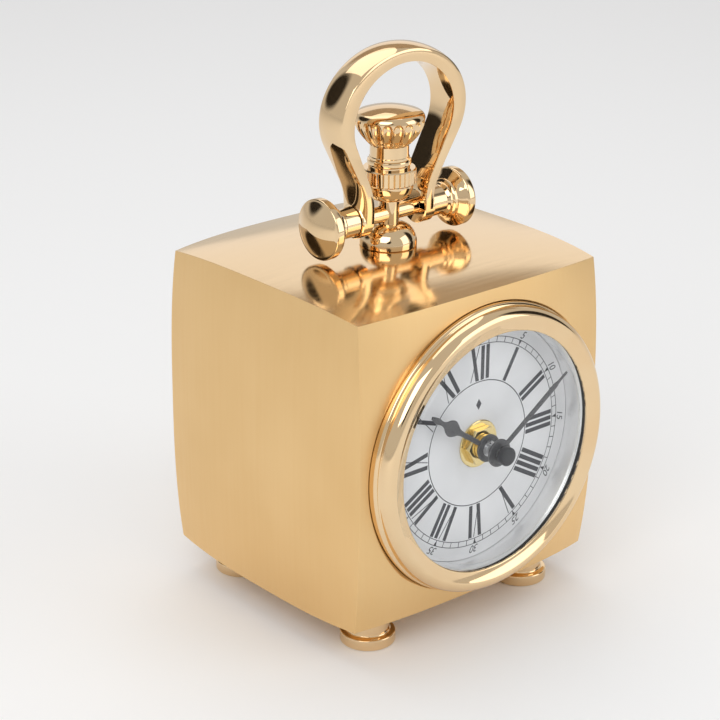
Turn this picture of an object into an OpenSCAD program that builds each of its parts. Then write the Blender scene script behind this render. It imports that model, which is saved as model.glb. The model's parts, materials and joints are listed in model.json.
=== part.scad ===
// Square brass mantel clock with a round dial, a fluted crown and a swinging carrying bow.
// X runs to the right of the dial, Y runs from the dial to the back, Z is up.
// The floor is Z = 0 and the axis of the crown stem is X = Y = 0.

/* [Case] */
// Width of the case across the middle of its bowed sides
case_w = 101.6; // [98:0.2:106]
// Depth of the case between the middles of its bowed front and back
case_d = 98.8; // [96:0.2:104]
// Height of the case between the middles of its bowed top and bottom
case_h = 103.6; // [101:0.2:108]
// Height of the lowest point of the case above the floor
case_lift = 10.2; // [9:0.1:12]
// How far the middle of the case lies behind the stem axis
case_setback = 1.8; // [1:0.1:3]
// Thickness of the cast wall
case_wall = 2.6; // [2.2:0.1:3.2]
// Bow of the front and back faces, at the middle of an edge
face_bow = 3.5; // [2.5:0.1:4]
// Bow of the two side faces
side_bow = 1.8; // [1:0.1:2.4]
// Bow of the top face
top_bow = 1.6; // [1:0.1:2.4]
// Bow of the bottom face
bottom_bow = 1.2; // [0.8:0.1:2]

/* [Feet] */
// Radius of the foot disc
foot_r = 8.65; // [7:0.05:10]
// Height of the foot disc
foot_disc_h = 3.7; // [3:0.1:5]
// Radius of the neck above the foot disc
foot_neck_r = 6.75; // [5:0.05:7.5]
// Distance of a foot from the middle of the case, left to right
foot_x = 32.9; // [28:0.1:36]
// Distance of a foot from the middle of the case, front to back
foot_y = 31.6; // [28:0.1:35]

/* [Dial and bezel] */
// Height of the dial centre above the floor
dial_z = 60.8; // [59:0.1:63]
// How far the dial lies behind the middle of the case front
dial_inset = 5.5; // [5:0.1:6]
// Radius of the dial
dial_r = 38.3; // [37:0.1:38.8]
// Outside radius of the bezel
bezel_r = 46.0; // [45:0.1:47]
// Radius of the bezel's inner rim
bezel_rim_r = 38.2; // [37:0.1:38.8]
// How far the bezel's crest stands in front of the dial
bezel_proud = 10.1; // [9.9:0.1:10.6]
// How far the domed glass stands in front of the dial
glass_proud = 16.1; // [15.9:0.1:17]
// Thickness of the glass
glass_t = 1.4; // [1.2:0.1:1.6]

/* [Hands] */
// Angle of the minute hand, clockwise from twelve
minute_angle = 56; // [0:1:359]
// Length of the minute hand from its centre
minute_hand_l = 34; // [30:0.5:34]
// Length of the hour hand from its centre
hour_hand_l = 28.4; // [24:0.2:30]
// Radius of the round hub of both hands
hand_hub_r = 4.4; // [4:0.1:4.6]

/* [Stem and crown] */
// Radius of the stem's foot
stem_foot_r = 8.9; // [7.6:0.1:9.5]
// Radius of the stem's neck
stem_neck_r = 3.3; // [3.2:0.05:3.6]
// Radius of the knurled collar
collar_r = 8.4; // [7.6:0.1:8.6]
// Number of grooves around the knurled collar
collar_grooves = 30; // [20:1:36]
// Radius of the crown's rolled rim
crown_r = 10.8; // [10:0.1:11]
// Number of flutes around the crown
crown_flutes = 20; // [16:1:24]

/* [Handle] */
// Overall height of the clock to the top of the bow
overall_h = 177.8; // [176:0.1:179]
// Height of the crossbar above the middle of the case top
bar_rise = 10.2; // [10:0.1:11]
// Radius of the crossbar
bar_r = 2.6; // [2.4:0.05:2.8]
// Largest half width of the bow
bow_half_w = 25.6; // [24:0.1:26.5]
// Depth of the bow at its top, front to back
bow_depth_top = 10.9; // [9:0.1:11.5]
// Depth of the bow at its two ears
bow_depth_ear = 10.9; // [9:0.1:11.5]
// How far the bow leans forward at rest, in degrees
bow_lean = 3; // [0:0.5:5]
// Radius of the disc at each end of the crossbar
knob_r = 9.45; // [9:0.05:9.8]

/* [Movement] */
// Width and height of the movement housing
movement_w = 56; // [56:0.5:60]
// Depth of the movement housing
movement_d = 18; // [18:0.1:19]
// Wall thickness of the movement housing
movement_wall = 1.2; // [1:0.1:1.4]
// Radius of the battery
battery_r = 7.25; // [7:0.05:7.25]
// Length of the battery
battery_l = 50.5; // [49:0.5:50.5]

/* [Back] */
// Radius of the access hole in the case back
access_r = 31; // [28:0.5:31]
// Radius of the door ring
door_ring_r = 38; // [37:0.1:38.4]
// Thickness of the door
door_t = 1.5; // [1.2:0.1:1.8]
// How far the door pull stands behind the case back
pull_proud = 7; // [5:0.1:8]

/* [Hidden] */
$fn = 96;
// Play between pieces that are fixed to each other
fit = 0.05;
// Play around pieces that turn
run = 0.06;
// Overshoot of a cutting tool
eps = 1;

case_y = case_setback;
case_top = case_lift + case_h;
case_mid_z = case_lift + case_h / 2;
front_y = case_y - case_d / 2;
back_y = case_y + case_d / 2;

// Radius of the ball whose cap has this rise over this half span.
function bow_radius(half_span, rise) = (half_span * half_span + rise * rise) / (2 * rise);
face_ball_r = bow_radius(case_w / 2, face_bow);
side_ball_r = bow_radius(case_d / 2, side_bow);
top_ball_r = bow_radius(case_w / 2, top_bow);
bottom_ball_r = bow_radius(case_w / 2, bottom_bow);
cap_fn = 720;

// Points on a circular arc in a plane, from angle a0 to angle a1.
function arc(cx, cy, r, a0, a1, n) =
    [for (i = [0 : n]) let (a = a0 + (a1 - a0) * i / n) [cx + r * cos(a), cy + r * sin(a)]];

// Depths along Y of the dial stack, all in front of or behind the dial face.
dial_y = front_y + dial_inset;
dial_t = 0.5;
cup_t = 0.8;
cup_r = dial_r + 0.1;
cup_wall = 0.6;
bezel_seat_y = dial_y - 2.2;
bezel_split_y = dial_y - 6.2;
bezel_crest_r = 42.5;
bezel_rim_y = dial_y - 9.1;
bezel_front_r = bezel_r - 0.6;
glass_seat_y = dial_y - 8.5;
glass_flange_r = 41;
case_hole_r = 43;
spigot_l = 3.8;

// Centre stack: bushing, tubes and hands, as distances in front of the dial.
bush_r = 4;
bush_flange_r = 5.5;
bush_l = 3.9;
washer_r = 7.6;
washer_t = 0.6;
nut_af = 11;
nut_t = 2.3;
hour_tube_r = 2.5;
hour_tube_l = 5.3;
minute_tube_r = 1.6;
minute_tube_l = 10.2;
second_pin_r = 0.5;
second_pin_l = 13.4;
hour_hand_gap = 4.4;
minute_hand_gap = 9.1;
hand_t = 0.4;
hub_t = 0.7;
cap_r = 2.95;
cap_gap = 11.2;
cap_t = 2.6;
cap_edge = 0.7;
hour_angle = 300 + minute_angle / 12;

// Movement housing, behind the cup floor and a rubber washer.
rubber_t = 0.5;
cup_back_y = dial_y + dial_t + cup_t;
housing_y = cup_back_y + rubber_t;
housing_in_y = housing_y + movement_wall;
housing_back_y = housing_y + movement_d;
lid_y = housing_back_y - movement_wall;
bay_z = -19.5;
bay_wall_z = bay_z + battery_r + 0.1;
partition_t = 1;
post_r = 1.2;
post_at = [[-24.5, -8.5], [24.5, -8.5], [-24.5, 24.5], [24.5, 24.5]];
battery_y = housing_in_y + battery_r + 0.15;

// Wheel train. Each pair is module, teeth of the pinion, teeth of the wheel.
rotor_teeth = 10;
intermediate_teeth = 60;
intermediate_pinion = 12;
seconds_teeth = 60;
seconds_pinion = 8;
third_teeth = 60;
third_pinion = 8;
center_teeth = 64;
cannon_teeth = 12;
motion_teeth = 36;
motion_pinion = 10;
hour_teeth = 40;
m_rotor = 0.35;
m_seconds = 0.35;
m_third = 0.36;
m_center = m_third * (seconds_pinion + third_teeth) / (third_pinion + center_teeth);
m_motion = 0.55;
m_hour = m_motion * (cannon_teeth + motion_teeth) / (motion_pinion + hour_teeth);

function spacing(m, a, b) = m * (a + b) / 2;
function polar(r, a) = [r * cos(a), r * sin(a)];
function ring_screw_at(i) = polar(ring_screw_pcd_r, 45 + 90 * i);
intermediate_dir = 80;
third_dir = 170;
motion_dir = 15;
rotor_dir = -5;
intermediate_at = polar(spacing(m_seconds, intermediate_pinion, seconds_teeth), intermediate_dir);
third_at = polar(spacing(m_third, seconds_pinion, third_teeth), third_dir);
motion_at = polar(spacing(m_motion, cannon_teeth, motion_teeth), motion_dir);
rotor_at = intermediate_at + polar(spacing(m_rotor, rotor_teeth, intermediate_teeth), rotor_dir);

// Layers of the train, as distances behind the inside of the front wall.
wheel_t = 0.9;
hour_layer = housing_in_y + 0.5;
motion_layer = housing_in_y + 2.2;
plate_layer = housing_in_y + 3.8;
plate_t = 1;
center_layer = housing_in_y + 5.4;
third_layer = housing_in_y + 7;
seconds_layer = housing_in_y + 8.6;
intermediate_layer = housing_in_y + 10.2;
magnet_layer = housing_in_y + 11.6;
magnet_t = 1.9;
magnet_r = 3;
pivot_r = 0.5;
motion_arbor_r = 0.9;

// Stem profile, as heights above the middle of the case top.
stem_foot_h = 7;
cup_h0 = 14.6;
cup_h1 = 19.8;
collar_h1 = 24.8;
crown_neck_r = 6;
bowl_h0 = 33.4;
rim_h = 40.1;
rim_roll = 2.3;
crown_top_h = 43.9;
flute_cut_r = 1;
flute_depth = 0.65;
bolt_r = 2;
spigot_r = 2.5;

// Crossbar, end knobs and bow.
bar_z = case_top + bar_rise;
leg_x = 12.6;
leg_half_t = 2.15;
knob_in_x = leg_x + leg_half_t + 0.25;
disc_x = 25.4;
disc_edge_x = 28.2;
dome_x = 30.8;

// Back ring, door and its hinge.
ring_screw_r = 1.2;
ring_screw_pcd_r = 34.4;
ring_seat_y = back_y - 2.35;
ring_t = 1.5;
door_y = ring_seat_y + ring_t + 0.05;
door_r = door_ring_r - 0.5;
hinge_x = -39.7;
hinge_y = door_y + 0.75;
knuckle_r = 1.6;
hinge_pin_r = 0.8;
knuckle_l = 4;
door_knuckle_l = 6;
pull_x = 29;
pull_r = 3.4;
pull_rivet_r = 1.2;
ring_screw_head_r = 2.3;
ring_screw_l = 5;
head_sink = 0.75;
tab_l = 4;
tab_lift = 0.45;

// ---- helpers -------------------------------------------------------------------------------

// Draws its children about an axis through the dial centre, their Z pointing to the front,
// with their zero at depth y.
module dial_axis(y, at = [0, 0]) {
    translate([at[0], y, dial_z + at[1]]) rotate([90, 0, 0]) children();
}

// Lifts what is drawn about the dial axis to the middle of the case back.
module on_back_axis() {
    translate([0, 0, case_mid_z - dial_z]) children();
}

// Ring or disc about the dial axis between two depths, y0 in front of y1.
module turned(y0, y1, r, hole = 0, at = [0, 0]) {
    dial_axis(y1, at) difference() {
        cylinder(h = y1 - y0, r = r);
        if (hole > 0) translate([0, 0, -eps]) cylinder(h = y1 - y0 + 2 * eps, r = hole);
    }
}

// Lathe work about the X axis through the crossbar, drawn as [distance out, radius] points.
module turned_bar(side, points) {
    translate([0, 0, bar_z]) rotate([0, 90 * side, 0]) rotate_extrude()
        polygon([for (p = points) [p[1], p[0]]]);
}

// Lathe work about the stem axis, drawn as [radius, height above the case top] points.
module turned_stem(points) {
    translate([0, 0, case_top]) rotate_extrude() polygon(points);
}

// Toothed wheel outline with narrow trapezoid teeth, one tooth centred on angle a.
module gear_outline(m, teeth, a) {
    pitch = 360 / teeth;
    root = m * (teeth / 2 - 1.15);
    tip = m * (teeth / 2 + 0.75);
    polygon([for (i = [0 : teeth - 1]) for (p = [[root, -0.27], [tip, -0.1], [tip, 0.1], [root, 0.27]])
        polar(p[0], a + pitch * (i + p[1]))]);
}

// Wheel one layer thick, its front face at depth y.
module wheel(m, teeth, a, y, at, t = wheel_t) {
    dial_axis(y + t, at) linear_extrude(t) gear_outline(m, teeth, a);
}

// Screw with a cylindrical head, its shank pointing up from the head.
module pan_screw(shank_r, shank_l, head_r, head_h) {
    cylinder(h = shank_l, r = shank_r);
    translate([0, 0, -head_h]) cylinder(h = head_h, r = head_r);
}

// ---- case and feet -------------------------------------------------------------------------

// Round block centred on the origin whose top is the cap of a ball of radius r.
module capped_block(half, r) {
    reach = 0.9 * case_w;
    rotate_extrude() intersection() {
        translate([0, half - r]) circle(r, $fn = cap_fn);
        translate([0, -0.8 * case_h]) square([reach, 2 * case_h]);
    }
}

// Block with six softly bowed faces, drawn in by inset all round.
module bowed_block(inset) {
    translate([0, case_y, case_mid_z]) intersection() {
        rotate([0, 90, 0]) capped_block(case_w / 2 - inset, side_ball_r - inset);
        rotate([0, -90, 0]) capped_block(case_w / 2 - inset, side_ball_r - inset);
        rotate([90, 0, 0]) capped_block(case_d / 2 - inset, face_ball_r - inset);
        rotate([-90, 0, 0]) capped_block(case_d / 2 - inset, face_ball_r - inset);
        capped_block(case_h / 2 - inset, top_ball_r - inset);
        rotate([180, 0, 0]) capped_block(case_h / 2 - inset, bottom_ball_r - inset);
    }
}

foot_seat_z = case_lift + 1.6;
foot_tap_r = 1.6;
foot_screw_z = foot_seat_z + 1.65;
foot_screw_head_r = 3;

// Round hole with a wider seat, cut from the case face at depth y inwards.
module stepped_bore(y, inwards, seat_depth, seat_r, hole_r) {
    dial_axis(y) rotate_extrude() polygon([for (p = [[0, -eps], [seat_r, -eps], [seat_r, seat_depth],
        [hole_r, seat_depth], [hole_r, 15], [0, 15]]) [p[0], -inwards * p[1]]]);
}

module case_body() {
    color("burlywood") difference() {
        bowed_block(0);
        bowed_block(case_wall);
        stepped_bore(front_y, 1, bezel_seat_y - front_y, bezel_r + 0.15, case_hole_r);
        on_back_axis() stepped_bore(back_y, -1, back_y - ring_seat_y, door_ring_r + 0.1, access_r);
        on_back_axis() for (i = [0 : 3])
            turned(ring_seat_y - ring_screw_l - eps, back_y, ring_screw_r + fit, 0, ring_screw_at(i));
        translate([0, 0, case_top - 12]) cylinder(h = 20, r = bolt_r + fit);
        for (sx = [-1, 1]) for (sy = [-1, 1]) translate([sx * foot_x, case_y + sy * foot_y, 0]) {
            cylinder(h = foot_seat_z, r = foot_neck_r + fit);
            cylinder(h = 2 * case_lift, r = foot_tap_r + fit);
            translate([0, 0, foot_screw_z]) cylinder(h = 5, r = foot_screw_head_r + 0.2);
        }
    }
}

// Turned foot with a tapped hole from above.
module foot(sx, sy) {
    edge = 0.6;
    color("tan") translate([sx * foot_x, case_y + sy * foot_y, 0]) rotate_extrude() polygon([
        [0, 0], [foot_r - edge, 0], [foot_r, edge], [foot_r, foot_disc_h - edge],
        [foot_r - edge, foot_disc_h], [foot_neck_r, foot_disc_h + 0.5], [foot_neck_r, foot_seat_z],
        [foot_tap_r + fit, foot_seat_z], [foot_tap_r + fit, foot_disc_h], [0, foot_disc_h]]);
}

module foot_screws() {
    head_h = 2.2;
    color("silver") for (sx = [-1, 1]) for (sy = [-1, 1])
        translate([sx * foot_x, case_y + sy * foot_y, foot_screw_z]) mirror([0, 0, 1])
            pan_screw(foot_tap_r, 8.5, foot_screw_head_r, head_h);
}

// ---- bezel, glass and dial -----------------------------------------------------------------

// Ring with this cross-section; points are [radius, depth in front of the dial].
module dial_ring(points) {
    dial_axis(dial_y) rotate_extrude() polygon(points);
}

bezel_seat = dial_y - bezel_seat_y;
bezel_split = dial_y - bezel_split_y;
bezel_bore_r = glass_flange_r + 0.1;
ledge_r = cup_r + cup_wall + 0.3;
gasket_t = 0.35;
cup_flange_t = 0.45;

// Rear ring of the bezel: a ledge for the dial cup and a spigot into the case.
module bezel_base() {
    color("tan") dial_ring(concat(
        [[ledge_r, bezel_split], [ledge_r, bezel_seat - spigot_l],
         [case_hole_r - fit, bezel_seat - spigot_l], [case_hole_r - fit, bezel_seat],
         [bezel_r, bezel_seat]],
        arc(bezel_r - 1.2, bezel_split - 1.2, 1.2, 0, 60, 6), [[bezel_r - 1.5, bezel_split]]));
}

module bezel_front() {
    rim = dial_y - bezel_rim_y;
    seat = dial_y - glass_seat_y;
    color("wheat") dial_ring(concat(
        [[bezel_rim_r, seat], [bezel_bore_r, seat], [bezel_bore_r, bezel_split],
         [bezel_front_r, bezel_split]],
        [for (i = [1 : 10]) let (a = 90 * i / 10)
            [bezel_crest_r + (bezel_front_r - bezel_crest_r) * cos(a),
             bezel_split + (bezel_proud - bezel_split) * sin(a)]],
        [[bezel_crest_r - 0.9, bezel_proud - 0.15], [bezel_rim_r, rim]]));
}

// Domed glass with an elliptical section and a flat flange under the bezel rim.
module glass() {
    seat = dial_y - glass_seat_y;
    rise = glass_proud - seat;
    dome_r = bezel_rim_r - 0.1;
    color("lightcyan", 0.3) dial_ring(concat(
        [[0, glass_proud - glass_t]],
        [for (i = [1 : 16]) let (a = 90 - 90 * i / 16)
            [(dome_r - glass_t) * cos(a), seat - glass_t + rise * sin(a)]],
        [[glass_flange_r, seat - glass_t], [glass_flange_r, seat]],
        [for (i = [0 : 16]) let (a = 90 * i / 16) [dome_r * cos(a), seat + rise * sin(a)]]));
}

module glass_gasket() {
    front = dial_y - glass_seat_y - glass_t;
    color("dimgray") dial_ring([[dial_r + 0.5, front], [glass_flange_r, front],
        [glass_flange_r, front - gasket_t], [dial_r + 0.5, front - gasket_t]]);
}

// Spun cup behind the dial, its flange held between the gasket and the bezel's ledge.
module dial_cup() {
    front = bezel_split + cup_flange_t + 0.05;
    outside = cup_r + cup_wall;
    back = -dial_t - cup_t;
    color("gainsboro") dial_ring([[bush_r + fit, -dial_t], [cup_r, -dial_t], [cup_r, front],
        [glass_flange_r - 0.1, front], [glass_flange_r - 0.1, front - cup_flange_t],
        [outside, front - cup_flange_t], [outside, back], [bush_r + fit, back]]);
}

module dial() {
    color("whitesmoke") turned(dial_y, dial_y + dial_t, dial_r, bush_r + fit);
}

// ---- centre stack --------------------------------------------------------------------------

module rubber_washer() {
    color("black") turned(cup_back_y, housing_y, 9, bush_r + fit);
}

module brass_washer() {
    color("gold") turned(dial_y - washer_t, dial_y, washer_r, bush_r + fit);
}

module hex_nut() {
    color("goldenrod") dial_axis(dial_y - washer_t) difference() {
        cylinder(h = nut_t, r = nut_af / sqrt(3), $fn = 6);
        translate([0, 0, -eps]) cylinder(h = nut_t + 2 * eps, r = bush_r + fit);
    }
}

// Threaded bushing with a flange inside the housing's front wall.
module threaded_bush() {
    color("darkgoldenrod") {
        turned(dial_y - bush_l, housing_y, bush_r, hour_tube_r + run);
        turned(housing_y, housing_in_y, bush_flange_r, hour_tube_r + run);
    }
}

// Hand outlines point to twelve.
module hour_outline() {
    shaft_w = 1.9;
    spade_l = 19.5;
    spade_w = 4.6;
    circle(r = hand_hub_r);
    polygon([[-shaft_w / 2, 0], [shaft_w / 2, 0], [shaft_w / 2, spade_l - 4.4],
        [spade_w / 2, spade_l - 1.6],
        [spade_w / 2, spade_l], [0.9, spade_l + 3.2], [0.45, hour_hand_l], [-0.45, hour_hand_l],
        [-0.9, spade_l + 3.2], [-spade_w / 2, spade_l], [-spade_w / 2, spade_l - 1.6],
        [-shaft_w / 2, spade_l - 4.4]]);
}

module minute_outline() {
    shaft_w = 1.7;
    neck_l = 28.5;
    circle(r = hand_hub_r);
    polygon([[-shaft_w / 2, 0], [shaft_w / 2, 0], [shaft_w / 2, neck_l - 0.8], [0.45, neck_l],
        [0.35, minute_hand_l], [-0.35, minute_hand_l], [-0.45, neck_l], [-shaft_w / 2, neck_l - 0.8]]);
}

module hour_hand() {
    color("dimgray") dial_axis(dial_y - hour_hand_gap) rotate([0, 0, -hour_angle]) difference() {
        union() {
            linear_extrude(hand_t) hour_outline();
            cylinder(h = hub_t, r = hand_hub_r - 0.6);
        }
        translate([0, 0, -eps]) cylinder(h = 3 * eps, r = hour_tube_r + 0.01);
    }
}

module minute_hand() {
    color("dimgray") dial_axis(dial_y - minute_hand_gap) rotate([0, 0, -minute_angle]) difference() {
        union() {
            linear_extrude(hand_t) minute_outline();
            cylinder(h = hub_t, r = hand_hub_r - 0.6);
        }
        translate([0, 0, -eps]) cylinder(h = 3 * eps, r = minute_tube_r + 0.01);
    }
}

module seconds_cap() {
    color("darkslategray") dial_axis(dial_y - cap_gap) difference() {
        rotate_extrude() polygon([[0, 0], [cap_r, 0], [cap_r, cap_t - cap_edge],
            [cap_r - cap_edge, cap_t], [0, cap_t]]);
        translate([0, 0, -eps]) cylinder(h = eps + second_pin_l - cap_gap, r = second_pin_r + 0.01);
    }
}

// ---- movement ------------------------------------------------------------------------------

// Front shell: an open box with a partition above the battery bay and posts for the plate.
module movement_front() {
    w = movement_w;
    inner = w - 2 * movement_wall;
    bay_h = bay_wall_z + inner / 2;
    train_h = inner / 2 - bay_wall_z - partition_t;
    color("darkgray") {
        difference() {
            translate([-w / 2, housing_y, dial_z - w / 2]) cube([w, movement_d - movement_wall, w]);
            translate([-inner / 2, housing_in_y, dial_z + bay_wall_z + partition_t])
                cube([inner, movement_d, train_h]);
            translate([-inner / 2, housing_in_y, dial_z - inner / 2]) cube([inner, movement_d, bay_h]);
            turned(housing_y - eps, housing_in_y + eps, bush_flange_r + fit);
            turned(housing_y + 0.4, housing_in_y + eps, motion_arbor_r + run, 0, motion_at);
        }
        for (at = post_at) turned(housing_in_y - fit, plate_layer, post_r, 0, at);
    }
}

// Lid of the train bay; the battery bay below it stays open.
module movement_rear() {
    w = movement_w;
    lid_z = bay_wall_z;
    color("gray") difference() {
        translate([-w / 2, lid_y, dial_z + lid_z]) cube([w, movement_wall, w / 2 - lid_z]);
        turned(lid_y - eps, housing_back_y + eps, motion_arbor_r + run, 0, motion_at);
        turned(lid_y - eps, housing_back_y - 0.4, pivot_r + run);
        for (p = [third_at, intermediate_at, rotor_at])
            turned(lid_y - eps, housing_back_y - 0.4, pivot_r + run, 0, p);
    }
}

// Plate between the motion work and the going train, with two posts for the circuit board.
module train_plate() {
    half_w = movement_w / 2 - movement_wall - fit;
    z0 = bay_wall_z + partition_t + fit;
    color("lightgray") for (z = board_post_z)
        turned(plate_layer + plate_t - fit, board_y, board_post_r, 0, [board_x0 + board_w / 2, z]);
    color("lightgray") difference() {
        translate([-half_w, plate_layer, dial_z + z0]) cube([2 * half_w, plate_t, half_w - z0]);
        turned(plate_layer - eps, plate_layer + plate_t + eps, minute_tube_r + run);
        turned(plate_layer - eps, plate_layer + plate_t + eps, motion_arbor_r + run, 0, motion_at);
        for (p = [third_at, intermediate_at, rotor_at])
            turned(plate_layer - eps, plate_layer + plate_t + eps, pivot_r + run, 0, p);
    }
}

battery_x0 = -24.4;

module battery() {
    nub_l = 1;
    color("seagreen") translate([battery_x0, battery_y, dial_z + bay_z]) rotate([0, 90, 0]) {
        cylinder(h = battery_l - nub_l, r = battery_r);
        translate([0, 0, battery_l - nub_l]) cylinder(h = nub_l, r = 2.75);
    }
}

contact_w = 8;
contact_t = 0.3;

module contact_positive() {
    x = battery_x0 + battery_l;
    color("silver") translate([x, battery_y - contact_w / 2, dial_z + bay_z - contact_w / 2])
        cube([contact_t, contact_w, contact_w]);
}

// Leaf spring: a flat back and a bowed tongue that presses on the battery.
module contact_negative() {
    x = -movement_w / 2 + movement_wall + 0.05;
    tongue_x = battery_x0;
    color("silver") translate([0, battery_y + contact_w / 2, dial_z + bay_z]) rotate([90, 0, 0])
        linear_extrude(contact_w) polygon([[x, -6], [x + contact_t, -6], [x + contact_t, 3.4],
            [tongue_x - contact_t, 0.4], [tongue_x - contact_t, -3], [tongue_x, -3], [tongue_x, 0.6],
            [x + contact_t, 4], [x, 4]]);
}

board_x0 = 19.6;
board_w = 7;
board_y = housing_in_y + 8.4;
board_post_r = 1;
board_post_z = [-7, 18];

module circuit_board() {
    color("darkgreen") {
        translate([board_x0, board_y, dial_z - 9]) cube([board_w, 1, 29]);
        translate([board_x0 + 1.2, board_y + 1, dial_z - 4]) cube([4.6, 1, 5]);
    }
}

module quartz_crystal() {
    crystal_r = 1;
    color("silver") translate([board_x0 + board_w / 2, board_y + 1 + crystal_r, dial_z + 6])
        cylinder(h = 6, r = crystal_r);
}

coil_x0 = -23;
coil_x1 = -9.6;
coil_z = 22.9;
coil_core = 1.9;
stator_t = 0.9;
stator_y = magnet_layer + 0.5;
coil_y = stator_y + stator_t / 2;
coil_flange_r = 2.6;

module coil_bobbin() {
    bore = coil_core + 2 * fit;
    flange_t = 0.7;
    color("ivory") difference() {
        translate([coil_x0, coil_y, dial_z + coil_z]) rotate([0, 90, 0]) union() {
            cylinder(h = coil_x1 - coil_x0, r = 1.6);
            cylinder(h = flange_t, r = coil_flange_r);
            translate([0, 0, coil_x1 - coil_x0 - flange_t]) cylinder(h = flange_t, r = coil_flange_r);
        }
        translate([coil_x0 - eps, stator_y - fit, dial_z + coil_z - bore / 2])
            cube([coil_x1 - coil_x0 + 2 * eps, stator_t + 2 * fit, bore]);
    }
}

module coil_winding() {
    x0 = coil_x0 + 0.75;
    x1 = coil_x1 - 0.75;
    color("chocolate") translate([x0, coil_y, dial_z + coil_z]) rotate([0, 90, 0]) difference() {
        cylinder(h = x1 - x0, r = coil_flange_r - 0.3);
        translate([0, 0, -eps]) cylinder(h = x1 - x0 + 2 * eps, r = 1.65);
    }
}

// One flat lamination: the coil's core, two arms and the eye around the rotor magnet.
module stator() {
    color("slategray") difference() {
        translate([coil_x0 - 2.8, stator_y, dial_z + 7.2])
            cube([19 - coil_x0 + 2.8, stator_t, coil_z + coil_core / 2 - 7.2]);
        translate([coil_x0 - 0.4, stator_y - eps, dial_z + 9.8])
            cube([9.4 - coil_x0 + 0.4, stator_t + 2 * eps, coil_z - coil_core / 2 - 9.8]);
        turned(stator_y - eps, stator_y + stator_t + eps, magnet_r + 0.45, 0, rotor_at);
    }
}

// Arbor along Y between two depths.
module arbor(y0, y1, r, at) {
    turned(y0, y1, r, 0, at);
}

lid_pivot_y = housing_back_y - 0.5;
plate_pivot_y = plate_layer + 0.1;

module rotor() {
    color("dimgray") {
        arbor(plate_pivot_y, lid_pivot_y, pivot_r, rotor_at);
        wheel(m_rotor, rotor_teeth, rotor_dir + 180, intermediate_layer - 0.1, rotor_at, wheel_t + 0.2);
        turned(magnet_layer, magnet_layer + magnet_t, magnet_r, pivot_r / 2, rotor_at);
    }
}

module intermediate_wheel() {
    color("ivory") {
        arbor(plate_pivot_y, lid_pivot_y, pivot_r, intermediate_at);
        wheel(m_rotor, intermediate_teeth, rotor_dir + 180 / intermediate_teeth, intermediate_layer,
            intermediate_at);
        wheel(m_seconds, intermediate_pinion, intermediate_dir + 180, seconds_layer - 0.1,
            intermediate_at, intermediate_layer - seconds_layer + 0.2);
    }
}

module seconds_wheel() {
    color("ivory") {
        arbor(dial_y - second_pin_l, lid_pivot_y, second_pin_r, [0, 0]);
        wheel(m_seconds, seconds_teeth, intermediate_dir + 180 / seconds_teeth, seconds_layer, [0, 0]);
        wheel(m_third, seconds_pinion, third_dir, third_layer - 0.1, [0, 0],
            seconds_layer - third_layer + 0.2);
    }
}

module third_wheel() {
    color("ivory") {
        arbor(plate_pivot_y, lid_pivot_y, pivot_r, third_at);
        wheel(m_third, third_teeth, third_dir + 180 + 180 / third_teeth, third_layer, third_at);
        wheel(m_center, third_pinion, third_dir + 180, center_layer - 0.1, third_at,
            third_layer - center_layer + 0.2);
    }
}

// Wheel with a friction clutch on the back end of the minute arbor.
module center_wheel() {
    clutch_r = minute_tube_r - 0.4 + run;
    color("ivory") difference() {
        wheel(m_center, center_teeth, third_dir + 180 / center_teeth, center_layer, [0, 0]);
        turned(center_layer - eps, center_layer + wheel_t + eps, clutch_r);
    }
}

module minute_arbor() {
    cannon_y1 = motion_layer + wheel_t + 0.2;
    color("khaki") difference() {
        union() {
            arbor(dial_y - minute_tube_l, plate_layer + plate_t + 0.2, minute_tube_r, [0, 0]);
            arbor(dial_y, center_layer + wheel_t + 0.2, minute_tube_r - 0.4, [0, 0]);
            wheel(m_motion, cannon_teeth, motion_dir, motion_layer - 0.1, [0, 0], cannon_y1 - motion_layer);
        }
        turned(dial_y - minute_tube_l - eps, center_layer + wheel_t + eps, second_pin_r + run);
    }
}

module motion_wheel() {
    color("ivory") {
        arbor(housing_y + 0.5, housing_back_y + 4, motion_arbor_r, motion_at);
        wheel(m_motion, motion_teeth, motion_dir + 180 + 180 / motion_teeth, motion_layer, motion_at);
        wheel(m_hour, motion_pinion, motion_dir + 180, hour_layer - 0.1, motion_at,
            motion_layer - hour_layer + 0.2);
    }
}

module hour_wheel() {
    color("khaki") difference() {
        union() {
            arbor(dial_y - hour_tube_l, hour_layer + wheel_t, hour_tube_r, [0, 0]);
            wheel(m_hour, hour_teeth, motion_dir + 180 / hour_teeth, hour_layer, [0, 0]);
        }
        turned(dial_y - hour_tube_l - eps, hour_layer + wheel_t + eps, minute_tube_r + run);
    }
}

module setting_knob() {
    grooves = 18;
    knob_radius = 5;
    y0 = housing_back_y + 0.6;
    color("black") difference() {
        turned(y0, y0 + 4.4, knob_radius, 0, motion_at);
        turned(y0 - eps, housing_back_y + 4, motion_arbor_r + 0.01, 0, motion_at);
        for (i = [0 : grooves - 1])
            turned(y0 - eps, y0 + 5, 0.4, 0, motion_at + polar(knob_radius, i * 360 / grooves));
    }
}

// ---- stem, crown and handle ----------------------------------------------------------------

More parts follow.
